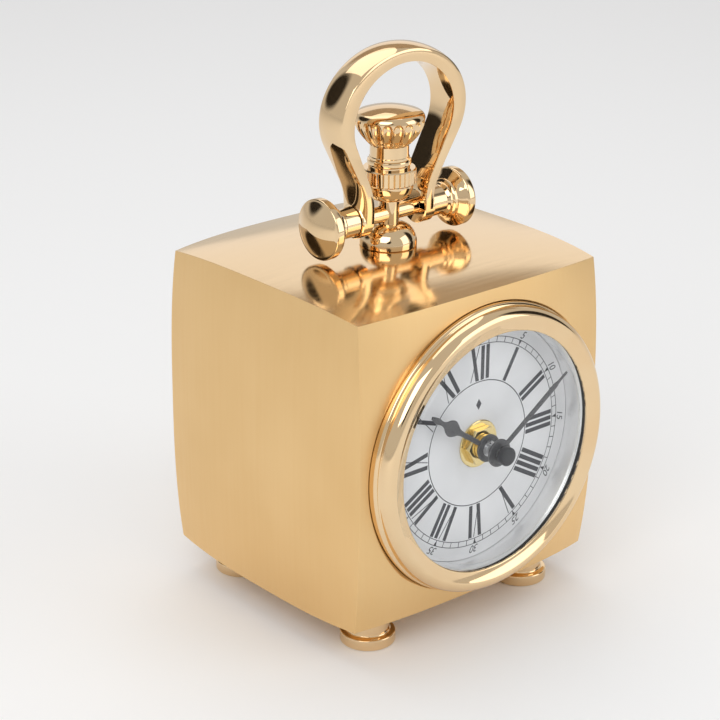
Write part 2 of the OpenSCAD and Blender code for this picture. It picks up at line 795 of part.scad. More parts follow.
module stem_pillar() {
    foot_edge = 1.2;
    color("tan") difference() {
        turned_stem(concat([[0, 0.02], [stem_foot_r, 0.02], [stem_foot_r, foot_edge]],
            [for (i = [1 : 8]) let (a = 90 * i / 8)
                [stem_neck_r + (stem_foot_r - stem_neck_r) * cos(a),
                 foot_edge + (stem_foot_h - foot_edge) * sin(a)]],
            [[stem_neck_r, cup_h0]],
            [for (i = [0 : 8]) let (a = 90 * i / 8)
                [stem_neck_r + 0.6 + (collar_r - 0.8 - stem_neck_r - 0.6) * sin(a),
                 cup_h1 - (cup_h1 - cup_h0) * cos(a)]],
            [[0, cup_h1]]));
        translate([0, 0, case_top - eps]) cylinder(h = 7.4 + eps, r = bolt_r + fit);
        translate([0, 0, case_top + cup_h1 - 4.8]) cylinder(h = 4.8 + eps, r = spigot_r + fit);
        translate([-20, 0, bar_z]) rotate([0, 90, 0]) cylinder(h = 40, r = bar_r + 0.02);
    }
}

module knurled_collar() {
    groove_r = 0.45;
    color("wheat") translate([0, 0, case_top + cup_h1]) difference() {
        rotate_extrude() polygon([[spigot_r + fit, 0], [collar_r - 0.4, 0], [collar_r, 0.4],
            [collar_r, collar_h1 - cup_h1 - 0.4], [collar_r - 0.4, collar_h1 - cup_h1],
            [spigot_r + fit, collar_h1 - cup_h1]]);
        for (i = [0 : collar_grooves - 1]) rotate([0, 0, i * 360 / collar_grooves])
            translate([collar_r + 0.1, 0, -eps]) cylinder(h = 8, r = groove_r, $fn = 24);
    }
}

// Fluted crown: a bowl and a low dome on neck rings, with a spigot down through the collar.
module crown() {
    bowl_w = crown_r - crown_neck_r;
    bowl_d = rim_h - bowl_h0;
    bowl_arc_r = (bowl_w * bowl_w + bowl_d * bowl_d) / (2 * bowl_w);
    bowl_x = crown_r - bowl_arc_r;
    bowl_a = -asin(bowl_d / bowl_arc_r);
    roll_x = crown_r - rim_roll;
    roll_a = 70;
    dome_r0 = roll_x + rim_roll * cos(roll_a);
    dome_drop = crown_top_h - rim_h - rim_roll * sin(roll_a);
    spigot_h0 = cup_h1 - 4.7;
    neck = [for (p = [[6.4, 0], [6.4, 0.8], [6.7, 1], [6.7, 2.6], [6.2, 2.8], [6.2, 3.5],
        [crown_neck_r, 3.7]]) [p[0], collar_h1 + p[1]]];
    color("tan") difference() {
        turned_stem(concat([[0, spigot_h0], [spigot_r, spigot_h0], [spigot_r, collar_h1]],
            neck,
            arc(bowl_x, rim_h, bowl_arc_r, bowl_a, 0, 12),
            [for (i = [1 : 8]) let (a = roll_a * i / 8)
                [roll_x + rim_roll * cos(a), rim_h + rim_roll * sin(a)]],
            [for (i = [1 : 8]) let (t = 1 - i / 8) [dome_r0 * t, crown_top_h - dome_drop * t * t]]));
        for (i = [0 : crown_flutes - 1]) rotate([0, 0, (i + 0.5) * 360 / crown_flutes])
            translate([bowl_x, 0, case_top + rim_h])
                crown_flute(bowl_arc_r + flute_cut_r - flute_depth, bowl_a + 4);
    }
}

// Cutter for one flute: a round groove along the bowl's arc with round ends.
module crown_flute(path_r, low_a) {
    rotate([90, 0, 0]) {
        rotate([0, 0, low_a]) rotate_extrude(angle = -low_a) translate([path_r, 0]) circle(r = flute_cut_r);
        for (a = [low_a, 0]) rotate([0, 0, a]) translate([path_r, 0, 0]) sphere(r = flute_cut_r);
    }
}

module stem_bolt() {
    color("silver") translate([0, 0, bolt_seat_z]) {
        cylinder(h = case_top + 7.2 - bolt_seat_z, r = bolt_r);
        translate([0, 0, -2.8]) cylinder(h = 2.8, r = 7 / sqrt(3), $fn = 6);
    }
}

stem_washer_t = 1;
ceiling_drop = 0.08;
bolt_seat_z = case_top - case_wall - stem_washer_t - ceiling_drop;

module stem_washer() {
    color("silver") translate([0, 0, bolt_seat_z]) difference() {
        cylinder(h = stem_washer_t, r = 6);
        translate([0, 0, -eps]) cylinder(h = stem_washer_t + 2 * eps, r = bolt_r + fit);
    }
}

module crossbar() {
    color("tan") translate([-24, 0, bar_z]) rotate([0, 90, 0]) cylinder(h = 48, r = bar_r);
}

// Turned end knob: sleeve, stepped neck and a domed disc, bored for the crossbar.
module knob(side) {
    color("tan") turned_bar(side, concat(
        [[24.1, 0], [24.1, bar_r + 0.02], [knob_in_x, bar_r + 0.02], [knob_in_x, 4.7], [20.6, 4.7],
         [21.1, 5.3], [22.1, 5.5], [22.4, 6.1], [23.4, 6.4], [24.2, 7.4], [disc_x, knob_r - 0.5]],
        arc(disc_x + 0.6, knob_r - 0.6, 0.6, 150, 90, 4),
        arc(disc_edge_x - 0.5, knob_r - 0.5, 0.5, 90, 10, 4),
        [for (i = [1 : 8]) let (t = 1 - i / 8)
            [dome_x - (dome_x - disc_edge_x) * t * t, (knob_r - 0.35) * t]]));
}

// Half outline of the bow from the ear up to the top: a straight leg, an outward sweep,
// a straight flank, the shoulder arc and an elliptical top.
function bow_side(leg, half_w, top, wide_z, flank, shoulder_r, sweep_r) =
    let (c = [half_w - shoulder_r, wide_z],
         p = c + shoulder_r * [cos(flank), -sin(flank)],
         sweep_dx = sweep_r * (1 - cos(flank)),
         q = [leg + sweep_dx, p[1] - (p[0] - leg - sweep_dx) / tan(flank)],
         s = [leg + sweep_r, q[1] - sweep_r * sin(flank)])
    concat(arc(s[0], s[1], sweep_r, 180, 180 - flank, 8),
        arc(c[0], c[1], shoulder_r, -flank, 0, 10),
        [for (i = [1 : 20]) let (a = 90 * i / 20) [half_w * cos(a), wide_z + (top - wide_z) * sin(a)]]);

function mirrored(points) = [for (i = [len(points) - 2 : -1 : 0]) [-points[i][0], points[i][1]]];

bow_top_t = 4.9;
bow_side_t = 5.7;
bow_wide_z = bar_z + 32.6;
// Top of the upright bow: leaning it lowers its middle and lifts its front edge.
bow_top_z = bar_z + (overall_h - bar_z - bow_depth_top / 2 * sin(bow_lean)) / cos(bow_lean);

module bow_outline() {
    outer = bow_side(leg_x + leg_half_t, bow_half_w, bow_top_z, bow_wide_z, 29, 17.6, 18);
    inner = bow_side(leg_x - leg_half_t, bow_half_w - bow_side_t, bow_top_z - bow_top_t,
        bow_wide_z - 1.5, 25, 14.2, 23);
    difference() {
        polygon(concat([[leg_x + leg_half_t, bar_z]], outer, mirrored(outer),
            [[-leg_x - leg_half_t, bar_z]]));
        polygon(concat([[leg_x - leg_half_t, bar_z - 1]], inner, mirrored(inner),
            [[-leg_x + leg_half_t, bar_z - 1]]));
    }
    for (s = [-1, 1]) translate([s * leg_x - leg_half_t, bar_z - 6]) square([2 * leg_half_t, 6.5]);
}

// Side view of the bow: rounded ears widening to the flat top.
module bow_flank() {
    ear = bow_depth_ear / 2;
    top = bow_depth_top / 2;
    translate([0, bar_z]) circle(r = ear);
    polygon([[-ear, bar_z], [ear, bar_z], [top, bow_top_z + 1], [-top, bow_top_z + 1]]);
}

module handle_bow() {
    color("burlywood") translate([0, 0, bar_z]) rotate([bow_lean, 0, 0]) translate([0, 0, -bar_z])
        difference() {
            intersection() {
                translate([0, 20, 0]) rotate([90, 0, 0]) linear_extrude(40) bow_outline();
                translate([-40, 0, 0]) rotate([90, 0, 90]) linear_extrude(80) bow_flank();
            }
            translate([-40, 0, bar_z]) rotate([0, 90, 0]) cylinder(h = 80, r = bar_r + run);
        }
}

// ---- back door -----------------------------------------------------------------------------

// Hinge barrel segment between two heights, relative to the dial centre.
module knuckle(z0, z1) {
    translate([hinge_x, hinge_y, dial_z + z0]) difference() {
        cylinder(h = z1 - z0, r = knuckle_r);
        translate([0, 0, -eps]) cylinder(h = z1 - z0 + 2 * eps, r = hinge_pin_r + run);
    }
}

module rear_ring() {
    z0 = door_knuckle_l / 2 + 0.1;
    color("tan") on_back_axis() {
        difference() {
            union() {
                turned(ring_seat_y, ring_seat_y + ring_t, door_ring_r);
                turned(ring_seat_y - 4, ring_seat_y, access_r - fit);
                for (z = [z0, -z0 - knuckle_l])
                    translate([hinge_x, ring_seat_y + tab_lift, dial_z + z])
                        cube([tab_l, ring_t - tab_lift - 0.1, knuckle_l]);
            }
            turned(ring_seat_y - 5, ring_seat_y + ring_t + eps, access_r - 1.5);
            for (i = [0 : 3]) {
                turned(ring_seat_y - eps, ring_seat_y + ring_t + eps, ring_screw_r + fit, 0,
                    ring_screw_at(i));
                turned(ring_seat_y + head_sink - fit, ring_seat_y + ring_t + eps,
                    ring_screw_head_r + fit, 0, ring_screw_at(i));
            }
            for (z = [z0, -z0 - knuckle_l]) translate([hinge_x, hinge_y, dial_z + z - eps])
                cylinder(h = knuckle_l + 2 * eps, r = knuckle_r - 0.3);
        }
        knuckle(z0, z0 + knuckle_l);
        knuckle(-z0 - knuckle_l, -z0);
    }
}

module rear_ring_screws() {
    color("silver") on_back_axis() for (i = [0 : 3]) {
        turned(ring_seat_y - ring_screw_l, ring_seat_y + head_sink, ring_screw_r, 0, ring_screw_at(i));
        turned(ring_seat_y + head_sink, ring_seat_y + ring_t - fit, ring_screw_head_r, 0, ring_screw_at(i));
    }
}

module rear_door() {
    z = door_knuckle_l / 2;
    color("burlywood") on_back_axis() {
        difference() {
            union() {
                turned(door_y, door_y + door_t, door_r);
                translate([hinge_x, door_y + 0.05, dial_z - z]) cube([tab_l, door_t - 0.1, door_knuckle_l]);
            }
            turned(door_y - eps, door_y + door_t + eps, pull_rivet_r + fit, 0, [pull_x, 0]);
            translate([hinge_x, hinge_y, dial_z - z - eps])
                cylinder(h = door_knuckle_l + 2 * eps, r = knuckle_r - 0.3);
        }
        knuckle(-z, z);
    }
}

module hinge_pin() {
    l = door_knuckle_l + 2 * knuckle_l + 0.2;
    color("silver") on_back_axis() translate([hinge_x, hinge_y, dial_z - l / 2]) {
        cylinder(h = l, r = hinge_pin_r);
        translate([0, 0, l]) cylinder(h = 0.8, r = 1.3);
    }
}

module door_pull() {
    tip_y = back_y + pull_proud;
    color("tan") on_back_axis() {
        turned(door_y + door_t, tip_y, pull_r, 0, [pull_x, 0]);
        turned(door_y + 0.1, door_y + door_t, pull_rivet_r, 0, [pull_x, 0]);
    }
}

// ---- assembly ------------------------------------------------------------------------------

case_body();
foot(-1, -1);  // foot_front_left
foot(1, -1);  // foot_front_right
foot(-1, 1);  // foot_rear_left
foot(1, 1);  // foot_rear_right
foot_screws();
bezel_base();
bezel_front();
glass();
glass_gasket();
dial_cup();
dial();
rubber_washer();
brass_washer();
hex_nut();
threaded_bush();
movement_front();
movement_rear();
train_plate();
battery();
contact_positive();
contact_negative();
circuit_board();
quartz_crystal();
coil_bobbin();
coil_winding();
stator();
rotor();
intermediate_wheel();
seconds_wheel();
third_wheel();
center_wheel();
minute_arbor();
motion_wheel();
hour_wheel();
setting_knob();
hour_hand();
minute_hand();
seconds_cap();
stem_pillar();
knurled_collar();
crown();
stem_bolt();
stem_washer();
crossbar();
knob(-1);  // knob_left
knob(1);  // knob_right
handle_bow();
rear_ring();
rear_ring_screws();
rear_door();
hinge_pin();
door_pull();
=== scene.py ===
"""Looks of a square brass mantel clock, built round its CAD frame. Metres, +X right of the dial, +Z up."""

import json
import math

import bmesh
import bpy
from mathutils import Matrix, Vector


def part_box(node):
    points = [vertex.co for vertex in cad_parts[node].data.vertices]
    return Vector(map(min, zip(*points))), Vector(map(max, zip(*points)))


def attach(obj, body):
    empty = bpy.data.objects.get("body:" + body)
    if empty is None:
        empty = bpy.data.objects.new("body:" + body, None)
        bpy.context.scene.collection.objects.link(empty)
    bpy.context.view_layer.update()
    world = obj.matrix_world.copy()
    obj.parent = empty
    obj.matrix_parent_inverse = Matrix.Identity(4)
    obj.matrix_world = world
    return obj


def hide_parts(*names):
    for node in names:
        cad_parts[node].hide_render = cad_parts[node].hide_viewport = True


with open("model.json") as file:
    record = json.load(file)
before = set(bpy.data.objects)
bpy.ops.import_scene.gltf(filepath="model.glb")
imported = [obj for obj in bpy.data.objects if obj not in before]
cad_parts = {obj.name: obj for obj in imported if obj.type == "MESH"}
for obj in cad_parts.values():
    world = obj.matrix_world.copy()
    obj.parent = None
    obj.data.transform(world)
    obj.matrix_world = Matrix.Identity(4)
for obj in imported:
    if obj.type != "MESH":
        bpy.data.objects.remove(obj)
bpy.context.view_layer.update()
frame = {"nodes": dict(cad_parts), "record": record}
MM = 0.001


# ---- places taken from the frame ------------------------------------------------------------

dial_low, dial_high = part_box("dial")
DIAL_X = 0.0
DIAL_Z = (dial_low.z + dial_high.z) / 2
DIAL_Y = dial_low.y
case_low, case_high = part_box("case_body")
CASE_W = case_high.x - case_low.x
CASE_H = case_high.z - case_low.z
CASE_D = 98.8 * MM
STEM_SETBACK = 1.8 * MM
# The dial and door holes take away the middles of the front and back, so their box is too short.
CASE_MID = Vector((0, STEM_SETBACK, (case_low.z + case_high.z) / 2))
CASE_TOP = case_high.z
bar_low, bar_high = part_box("crossbar")
BAR_Z = (bar_low.z + bar_high.z) / 2
bow_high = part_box("handle_bow")[1]


# ---- materials ------------------------------------------------------------------------------

def new_material(name, color, metallic, roughness):
    """Principled material with its plain values set on the shader itself."""
    mat = bpy.data.materials.new(name)
    mat.use_nodes = True
    shader = mat.node_tree.nodes["Principled BSDF"]
    shader.inputs["Base Color"].default_value = (*color, 1)
    shader.inputs["Metallic"].default_value = metallic
    shader.inputs["Roughness"].default_value = roughness
    return mat


def noise(mat, scale, stretch=(1, 1, 1), detail=3.0):
    """Noise in object space, in cycles per metre, drawn out where stretch is small."""
    nodes, links = mat.node_tree.nodes, mat.node_tree.links
    coord = nodes.new("ShaderNodeTexCoord")
    mapping = nodes.new("ShaderNodeMapping")
    mapping.inputs["Scale"].default_value = stretch
    texture = nodes.new("ShaderNodeTexNoise")
    texture.inputs["Scale"].default_value = scale
    texture.inputs["Detail"].default_value = detail
    links.new(coord.outputs["Object"], mapping.inputs["Vector"])
    links.new(mapping.outputs["Vector"], texture.inputs["Vector"])
    return texture.outputs["Fac"]


# A noise seldom leaves the middle of 0 to 1, so only that part is drawn out over the wanted range.
NOISE_LOW, NOISE_HIGH = 0.3, 0.7
TINT_LOW, TINT_HIGH = 0.35, 0.65


def spread(mat, source, low, high, socket):
    """Maps a noise onto a number socket of the shader, between low and high."""
    nodes, links = mat.node_tree.nodes, mat.node_tree.links
    ranged = nodes.new("ShaderNodeMapRange")
    ranged.inputs["From Min"].default_value = NOISE_LOW
    ranged.inputs["From Max"].default_value = NOISE_HIGH
    ranged.inputs["To Min"].default_value = low
    ranged.inputs["To Max"].default_value = high
    links.new(source, ranged.inputs["Value"])
    links.new(ranged.outputs["Result"], nodes["Principled BSDF"].inputs[socket])


def tint(mat, source, dark, light):
    """Blends the base colour between two colours by a noise."""
    nodes, links = mat.node_tree.nodes, mat.node_tree.links
    ramp = nodes.new("ShaderNodeValToRGB")
    ramp.color_ramp.elements[0].position = TINT_LOW
    ramp.color_ramp.elements[0].color = (*dark, 1)
    ramp.color_ramp.elements[1].position = TINT_HIGH
    ramp.color_ramp.elements[1].color = (*light, 1)
    links.new(source, ramp.inputs["Fac"])
    links.new(ramp.outputs["Color"], nodes["Principled BSDF"].inputs["Base Color"])


def bump(mat, source, depth, strength):
    """Raises a noise as fine relief, depth in metres."""
    nodes, links = mat.node_tree.nodes, mat.node_tree.links
    node = nodes.new("ShaderNodeBump")
    node.inputs["Strength"].default_value = strength
    node.inputs["Distance"].default_value = depth
    links.new(source, node.inputs["Height"])
    links.new(node.outputs["Normal"], nodes["Principled BSDF"].inputs["Normal"])


def satin_brass():
    """Vertical brush lines over a slightly cloudy lacquer."""
    mat = new_material("satin_brass", (0.84, 0.57, 0.27), 1.0, 0.34)
    grain = noise(mat, 900, (1, 1, 0.025), 4)
    spread(mat, grain, 0.30, 0.40, "Roughness")
    bump(mat, grain, 0.00003, 0.12)
    tint(mat, noise(mat, 22, detail=2), (0.82, 0.55, 0.255), (0.86, 0.59, 0.285))
    return mat


def top_brass():
    """The case top: smoother than its sides, with a faint haze, and a base colour lightened as painted light
    falling on the top.
    """
    mat = new_material("top_brass", (0.88, 0.66, 0.40), 1.0, 0.12)
    grain = noise(mat, 700, (0.04, 1, 1), 3)
    spread(mat, grain, 0.09, 0.15, "Roughness")
    bump(mat, grain, 0.00002, 0.05)
    return mat


def polished_brass():
    mat = new_material("polished_brass", (0.84, 0.62, 0.37), 1.0, 0.04)
    spread(mat, noise(mat, 260, detail=3), 0.025, 0.06, "Roughness")
    tint(mat, noise(mat, 60, detail=2), (0.83, 0.60, 0.35), (0.85, 0.64, 0.39))
    return mat


def bright_brass():
    mat = new_material("bright_brass", (0.84, 0.67, 0.33), 1.0, 0.14)
    spread(mat, noise(mat, 1500, detail=2), 0.10, 0.18, "Roughness")
    return mat


def moulded(name, color, roughness, grain=1400):
    """Moulded plastic or paint with a fine uneven skin."""
    mat = new_material(name, color, 0.0, roughness)
    skin = noise(mat, grain, detail=2)
    spread(mat, skin, roughness - 0.05, roughness + 0.05, "Roughness")
    bump(mat, skin, 0.00002, 0.1)
    tint(mat, noise(mat, 90), tuple(0.94 * c for c in color), color)
    return mat


def metal(name, color, roughness, stretch=(1, 1, 1)):
    mat = new_material(name, color, 1.0, roughness)
    lines = noise(mat, 900, stretch)
    spread(mat, lines, roughness - 0.05, roughness + 0.06, "Roughness")
    bump(mat, lines, 0.00002, 0.08)
    return mat


GLASS_EDGE_POWER = 4.0
GLASS_EDGE_MIRROR = 0.22
GLASS_FACE_MIRROR = 0.012


def clear_glass():
    """Clear glass that lets lamps through, a faint mirror that grows towards its edge."""
    mat = bpy.data.materials.new("clear_glass")
    mat.use_nodes = True
    nodes, links = mat.node_tree.nodes, mat.node_tree.links
    nodes.remove(nodes["Principled BSDF"])
    facing = nodes.new("ShaderNodeLayerWeight")
    facing.inputs["Blend"].default_value = 0.5
    steep = nodes.new("ShaderNodeMath")
    steep.operation = "POWER"
    steep.inputs[1].default_value = GLASS_EDGE_POWER
    share = nodes.new("ShaderNodeMath")
    share.operation = "MULTIPLY_ADD"
    share.inputs[1].default_value = GLASS_EDGE_MIRROR
    share.inputs[2].default_value = GLASS_FACE_MIRROR
    clear = nodes.new("ShaderNodeBsdfTransparent")
    clear.inputs["Color"].default_value = (0.985, 0.99, 0.99, 1)
    mirror = nodes.new("ShaderNodeBsdfGlossy")
    mirror.inputs["Roughness"].default_value = 0.03
    mix = nodes.new("ShaderNodeMixShader")
    links.new(facing.outputs["Facing"], steep.inputs[0])
    links.new(steep.outputs["Value"], share.inputs[0])
    links.new(share.outputs["Value"], mix.inputs["Fac"])
    links.new(clear.outputs["BSDF"], mix.inputs[1])
    links.new(mirror.outputs["BSDF"], mix.inputs[2])
    links.new(mix.outputs["Shader"], nodes["Material Output"].inputs["Surface"])
    return mat


MATERIALS = {
    "satin_brass": satin_brass(),
    "top_brass": top_brass(),
    "polished_brass": polished_brass(),
    "bright_brass": bright_brass(),
    "glass": clear_glass(),
    "dial_white": moulded("dial_white", (0.83, 0.83, 0.85), 0.42),
    "dial_print": moulded("dial_print", (0.07, 0.07, 0.08), 0.5),
    "cup_aluminium": metal("cup_aluminium", (0.93, 0.93, 0.93), 0.36, (0.1, 1, 0.1)),
    "dark_metal": moulded("dark_metal", (0.10, 0.10, 0.105), 0.3),
    "black_plastic": moulded("black_plastic", (0.035, 0.035, 0.04), 0.36),
    "grey_plastic": moulded("grey_plastic", (0.05, 0.05, 0.055), 0.5),
    "white_plastic": moulded("white_plastic", (0.80, 0.78, 0.70), 0.4),
    "steel": metal("steel", (0.62, 0.62, 0.63), 0.28, (1, 0.1, 1)),
    "rubber": moulded("rubber", (0.025, 0.025, 0.025), 0.7),
    "battery_shell": moulded("battery_shell", (0.04, 0.16, 0.08), 0.3),
    "board": moulded("board", (0.02, 0.13, 0.05), 0.35),
    "copper": metal("copper", (0.72, 0.30, 0.13), 0.3, (0.05, 1, 1)),
    "magnet": metal("magnet", (0.13, 0.13, 0.14), 0.45),
}


# ---- mesh helpers ---------------------------------------------------------------------------

def place(name, mesh, body, slot, replaced=(), material=None):
    """Links a finished mesh as a piece that rides on a body and stands for CAD nodes."""
    piece = bpy.data.objects.new(name, mesh)
    bpy.context.scene.collection.objects.link(piece)
    mesh.materials.append(MATERIALS[material or slot])
    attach(piece, body)
    if replaced:
        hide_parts(*replaced)
    return piece


def finish_mesh(name, bm, sharp_deg=32):
    """Closes up a bmesh: welded, facing outward, smooth but for its sharp edges."""
    bmesh.ops.remove_doubles(bm, verts=bm.verts, dist=1e-7)
    bmesh.ops.recalc_face_normals(bm, faces=bm.faces)
    limit = math.radians(sharp_deg)
    for face in bm.faces:
        face.smooth = True
    for edge in bm.edges:
        edge.smooth = len(edge.link_faces) == 2 and edge.calc_face_angle(0) < limit
    mesh = bpy.data.meshes.new(name)
    bm.to_mesh(mesh)
    bm.free()
    return mesh


# Axis frames: each turns a profile's own upward axis to where the finished piece points.
UP = Matrix.Identity(3)
FORWARD = Matrix(((1, 0, 0), (0, 0, -1), (0, 1, 0)))
RIGHT = Matrix(((0, 0, 1), (0, 1, 0), (-1, 0, 0)))
LEFT = Matrix(((0, 0, -1), (0, 1, 0), (1, 0, 0)))
BACKWARD = Matrix(((-1, 0, 0), (0, 0, 1), (0, 1, 0)))


def lathe(name, profile, origin, axes=UP, steps=160, ripple=None):
    """Turns [radius, height] points in mm about an axis. ripple(angle, radius, height) moves a radius."""
    bm = bmesh.new()
    rings = []
    for radius, height in profile:
        if radius < 1e-6:
            rings.append([bm.verts.new(origin + axes @ Vector((0, 0, height * MM)))])
            continue
        ring = []
        for i in range(steps):
            angle = 2 * math.pi * i / steps
            r = radius if ripple is None else ripple(angle, radius, height)
            point = Vector((r * math.cos(angle), r * math.sin(angle), height)) * MM
            ring.append(bm.verts.new(origin + axes @ point))
        rings.append(ring)
    closed = profile[0][0] > 1e-6 and profile[-1][0] > 1e-6
    pairs = list(zip(rings, rings[1:])) + ([(rings[-1], rings[0])] if closed else [])
    for a, b in pairs:
        for i in range(steps):
            j = (i + 1) % steps
            if len(a) == 1 and len(b) == 1:
                continue
            if len(a) == 1:
                bm.faces.new((a[0], b[i], b[j]))
            elif len(b) == 1:
                bm.faces.new((a[i], a[j], b[0]))
            else:
                bm.faces.new((a[i], a[j], b[j], b[i]))
    return finish_mesh(name, bm)


def arc(cx, cy, r, a0, a1, n=8):
    """Points on an arc, angles in degrees."""
    angles = [math.radians(a0 + (a1 - a0) * i / n) for i in range(n + 1)]
    return [(cx + r * math.cos(a), cy + r * math.sin(a)) for a in angles]


def slab(name, outlines, depth, at, y_front, turn=0.0, chamfer=0.0):
    """Flat piece facing the front: outlines in mm about a point on the dial plane, turned clockwise."""
    bm = bmesh.new()
    cos_t, sin_t = math.cos(math.radians(turn)), math.sin(math.radians(turn))
    for outline in outlines:
        loop = []
        for x, z in outline:
            px = at[0] + (x * cos_t + z * sin_t) * MM
            pz = at[1] + (z * cos_t - x * sin_t) * MM
            loop.append(bm.verts.new((px, y_front, pz)))
        bm.faces.new(loop)
    made = bmesh.ops.extrude_face_region(bm, geom=bm.faces[:])
    moved = [v for v in made["geom"] if isinstance(v, bmesh.types.BMVert)]
    bmesh.ops.translate(bm, verts=moved, vec=(0, depth * MM, 0))
    if chamfer:
        edges = [e for e in bm.edges if all(abs(v.co.y - y_front) < 1e-7 for v in e.verts)]
        bmesh.ops.bevel(bm, geom=edges, offset=chamfer * MM, segments=2, affect="EDGES", profile=0.5)
    return finish_mesh(name, bm)


# ---- case -----------------------------------------------------------------------------------

BOW_POWER = 2.86
SIDE_DROP = (2.21, 1.33)
FACE_DROP = (3.93, 3.2)
TOP_DROP = (1.7, 3.34)
BOTTOM_DROP = (0.1, 2.41)
CASE_WALL = 2.6 * MM
DIAL_HOLE_R = 46.15
DOOR_HOLE_R = 38.1
CELLS = 44
FACE_ROWS = 26
ROW_POWER = 0.9
SETTLE_STEPS = 12
CORNER_DEG = 40
EDGE_ROUNDING = 1.6 * MM
BORDER_SHARE = 0.45


def fall(drops, u, v):
    """How far a bowed face has fallen at u, v, its place from -1 to 1 across the face."""
    u, v = min(abs(u), 1.0), min(abs(v), 1.0)
    return (drops[0] * u ** BOW_POWER + drops[1] * v ** BOW_POWER) * MM


def case_point(a, b, c):
    """A point of the case's skin from its place on a cube of half side 1."""
    half = Vector((CASE_W, CASE_D, CASE_H)) / 2
    x, y, z = a * half.x, b * half.y, c * half.z
    for _ in range(SETTLE_STEPS):
        u, v, w = x / half.x, y / half.y, z / half.z
        x = a * (half.x - fall(SIDE_DROP, v, w))
        y = b * (half.y - fall(FACE_DROP, u, w))
        z = c * (half.z - fall(TOP_DROP if c > 0 else BOTTOM_DROP, u, v))
    return CASE_MID + Vector((x, y, z))


def pierced_face(bm, side, centre_z, hole_r):
    """Front or back skin: rings from a round hole out to the edge of the case."""
    steps = [-1 + 2 * i / CELLS for i in range(CELLS)]
    border = [(t, -1) for t in steps] + [(1, t) for t in steps]
    border += [(-t, 1) for t in steps] + [(-1, -t) for t in steps]
    half_d = CASE_D / 2
    rings = []
    for k in range(FACE_ROWS + 1):
        t = (k / FACE_ROWS) ** ROW_POWER
        ring = []
        for a, c in border:
            edge = case_point(a, side, c)
            away = Vector((edge.x - DIAL_X, edge.z - centre_z))
            rim = away.normalized() * hole_r * MM
            x = DIAL_X + rim.x + (away.x - rim.x) * t
            z = centre_z + rim.y + (away.y - rim.y) * t
            u, w = x / (CASE_W / 2), (z - CASE_MID.z) / (CASE_H / 2)
            y = CASE_MID.y + side * (half_d - fall(FACE_DROP, u, w))
            ring.append(bm.verts.new(edge if k == FACE_ROWS else (x, y, z)))
        rings.append(ring)
    for inner, outer in zip(rings, rings[1:]):
        for i in range(len(inner)):
            j = (i + 1) % len(inner)
            bm.faces.new((inner[i], inner[j], outer[j], outer[i]))


def plain_face(bm, point, material=0):
    """One whole skin of the case, from a function of its place across the face."""
    at = [[bm.verts.new(point(-1 + 2 * i / CELLS, -1 + 2 * j / CELLS)) for j in range(CELLS + 1)]
          for i in range(CELLS + 1)]
    for i in range(CELLS):
        for j in range(CELLS):
            face = bm.faces.new((at[i][j], at[i + 1][j], at[i + 1][j + 1], at[i][j + 1]))
            face.material_index = material


def case_shell():
    """Cast shell: a crisp border round the top and softly rounded upright edges."""
    bm = bmesh.new()
    pierced_face(bm, -1, DIAL_Z, DIAL_HOLE_R)
    pierced_face(bm, 1, CASE_MID.z, DOOR_HOLE_R)
    for side in (-1, 1):
        plain_face(bm, lambda p, q, s=side: case_point(s, p, q))
    plain_face(bm, lambda p, q: case_point(p, q, 1), 1)
    plain_face(bm, lambda p, q: case_point(p, q, -1))
    bmesh.ops.remove_doubles(bm, verts=bm.verts, dist=2e-6)
    bmesh.ops.recalc_face_normals(bm, faces=bm.faces)
    weight = bm.edges.layers.float.new("bevel_weight_edge")
    for edge in bm.edges:
        if len(edge.link_faces) == 2 and edge.calc_face_angle(0) > math.radians(CORNER_DEG):
            along = (edge.verts[0].co - edge.verts[1].co).normalized()
            edge[weight] = 1.0 if abs(along.z) > 0.8 else BORDER_SHARE
    for face in bm.faces:
        face.smooth = True
    mesh = bpy.data.meshes.new("case_shell")
    bm.to_mesh(mesh)
    bm.free()
    piece = place("case_shell", mesh, "clock", "satin_brass", ["case_body"])
    # The top face takes the lighter copy of the brass: its brighter colour is painted light from above, its
    # lower roughness a real smoother finish.
    mesh.materials.append(MATERIALS["top_brass"])
    rounding = piece.modifiers.new("edges", "BEVEL")
    rounding.limit_method = "WEIGHT"
    rounding.width = EDGE_ROUNDING
    rounding.segments = 5
    rounding.material = 0
    wall = piece.modifiers.new("wall", "SOLIDIFY")
    wall.thickness = CASE_WALL
    wall.offset = -1
    wall.use_even_offset = True
    normals = piece.modifiers.new("normals", "WEIGHTED_NORMAL")
    normals.keep_sharp = True


def feet():
    """Turned feet with a rounded disc and a neck up into the case."""
    for node in ("foot_front_left", "foot_front_right", "foot_rear_left", "foot_rear_right"):
        low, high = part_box(node)
        centre = Vector(((low.x + high.x) / 2, (low.y + high.y) / 2, 0))
        r = (high.x - low.x) / 2 / MM
        h = (high.z - low.z) / MM
        profile = [(0, 0), (r - 1.4, 0)] + arc(r - 0.7, 0.7, 0.7, -70, 0, 5)
        profile += arc(r - 0.5, 3.2, 0.5, 0, 90, 6) + [(7.5, 3.75)] + arc(7.45, 4.45, 0.7, 250, 180, 5)
        profile += [(6.75, 4.7), (6.75, h), (1.65, h), (1.65, 4), (0, 4)]
        place(node + "_turned", lathe(node, profile, centre), "clock", "polished_brass", [node])


# ---- bezel, dial and hands ------------------------------------------------------------------

def dial_origin(forward):
    """A point on the dial's axis, this many mm in front of the dial."""
    return Vector((DIAL_X, DIAL_Y - forward * MM, DIAL_Z))


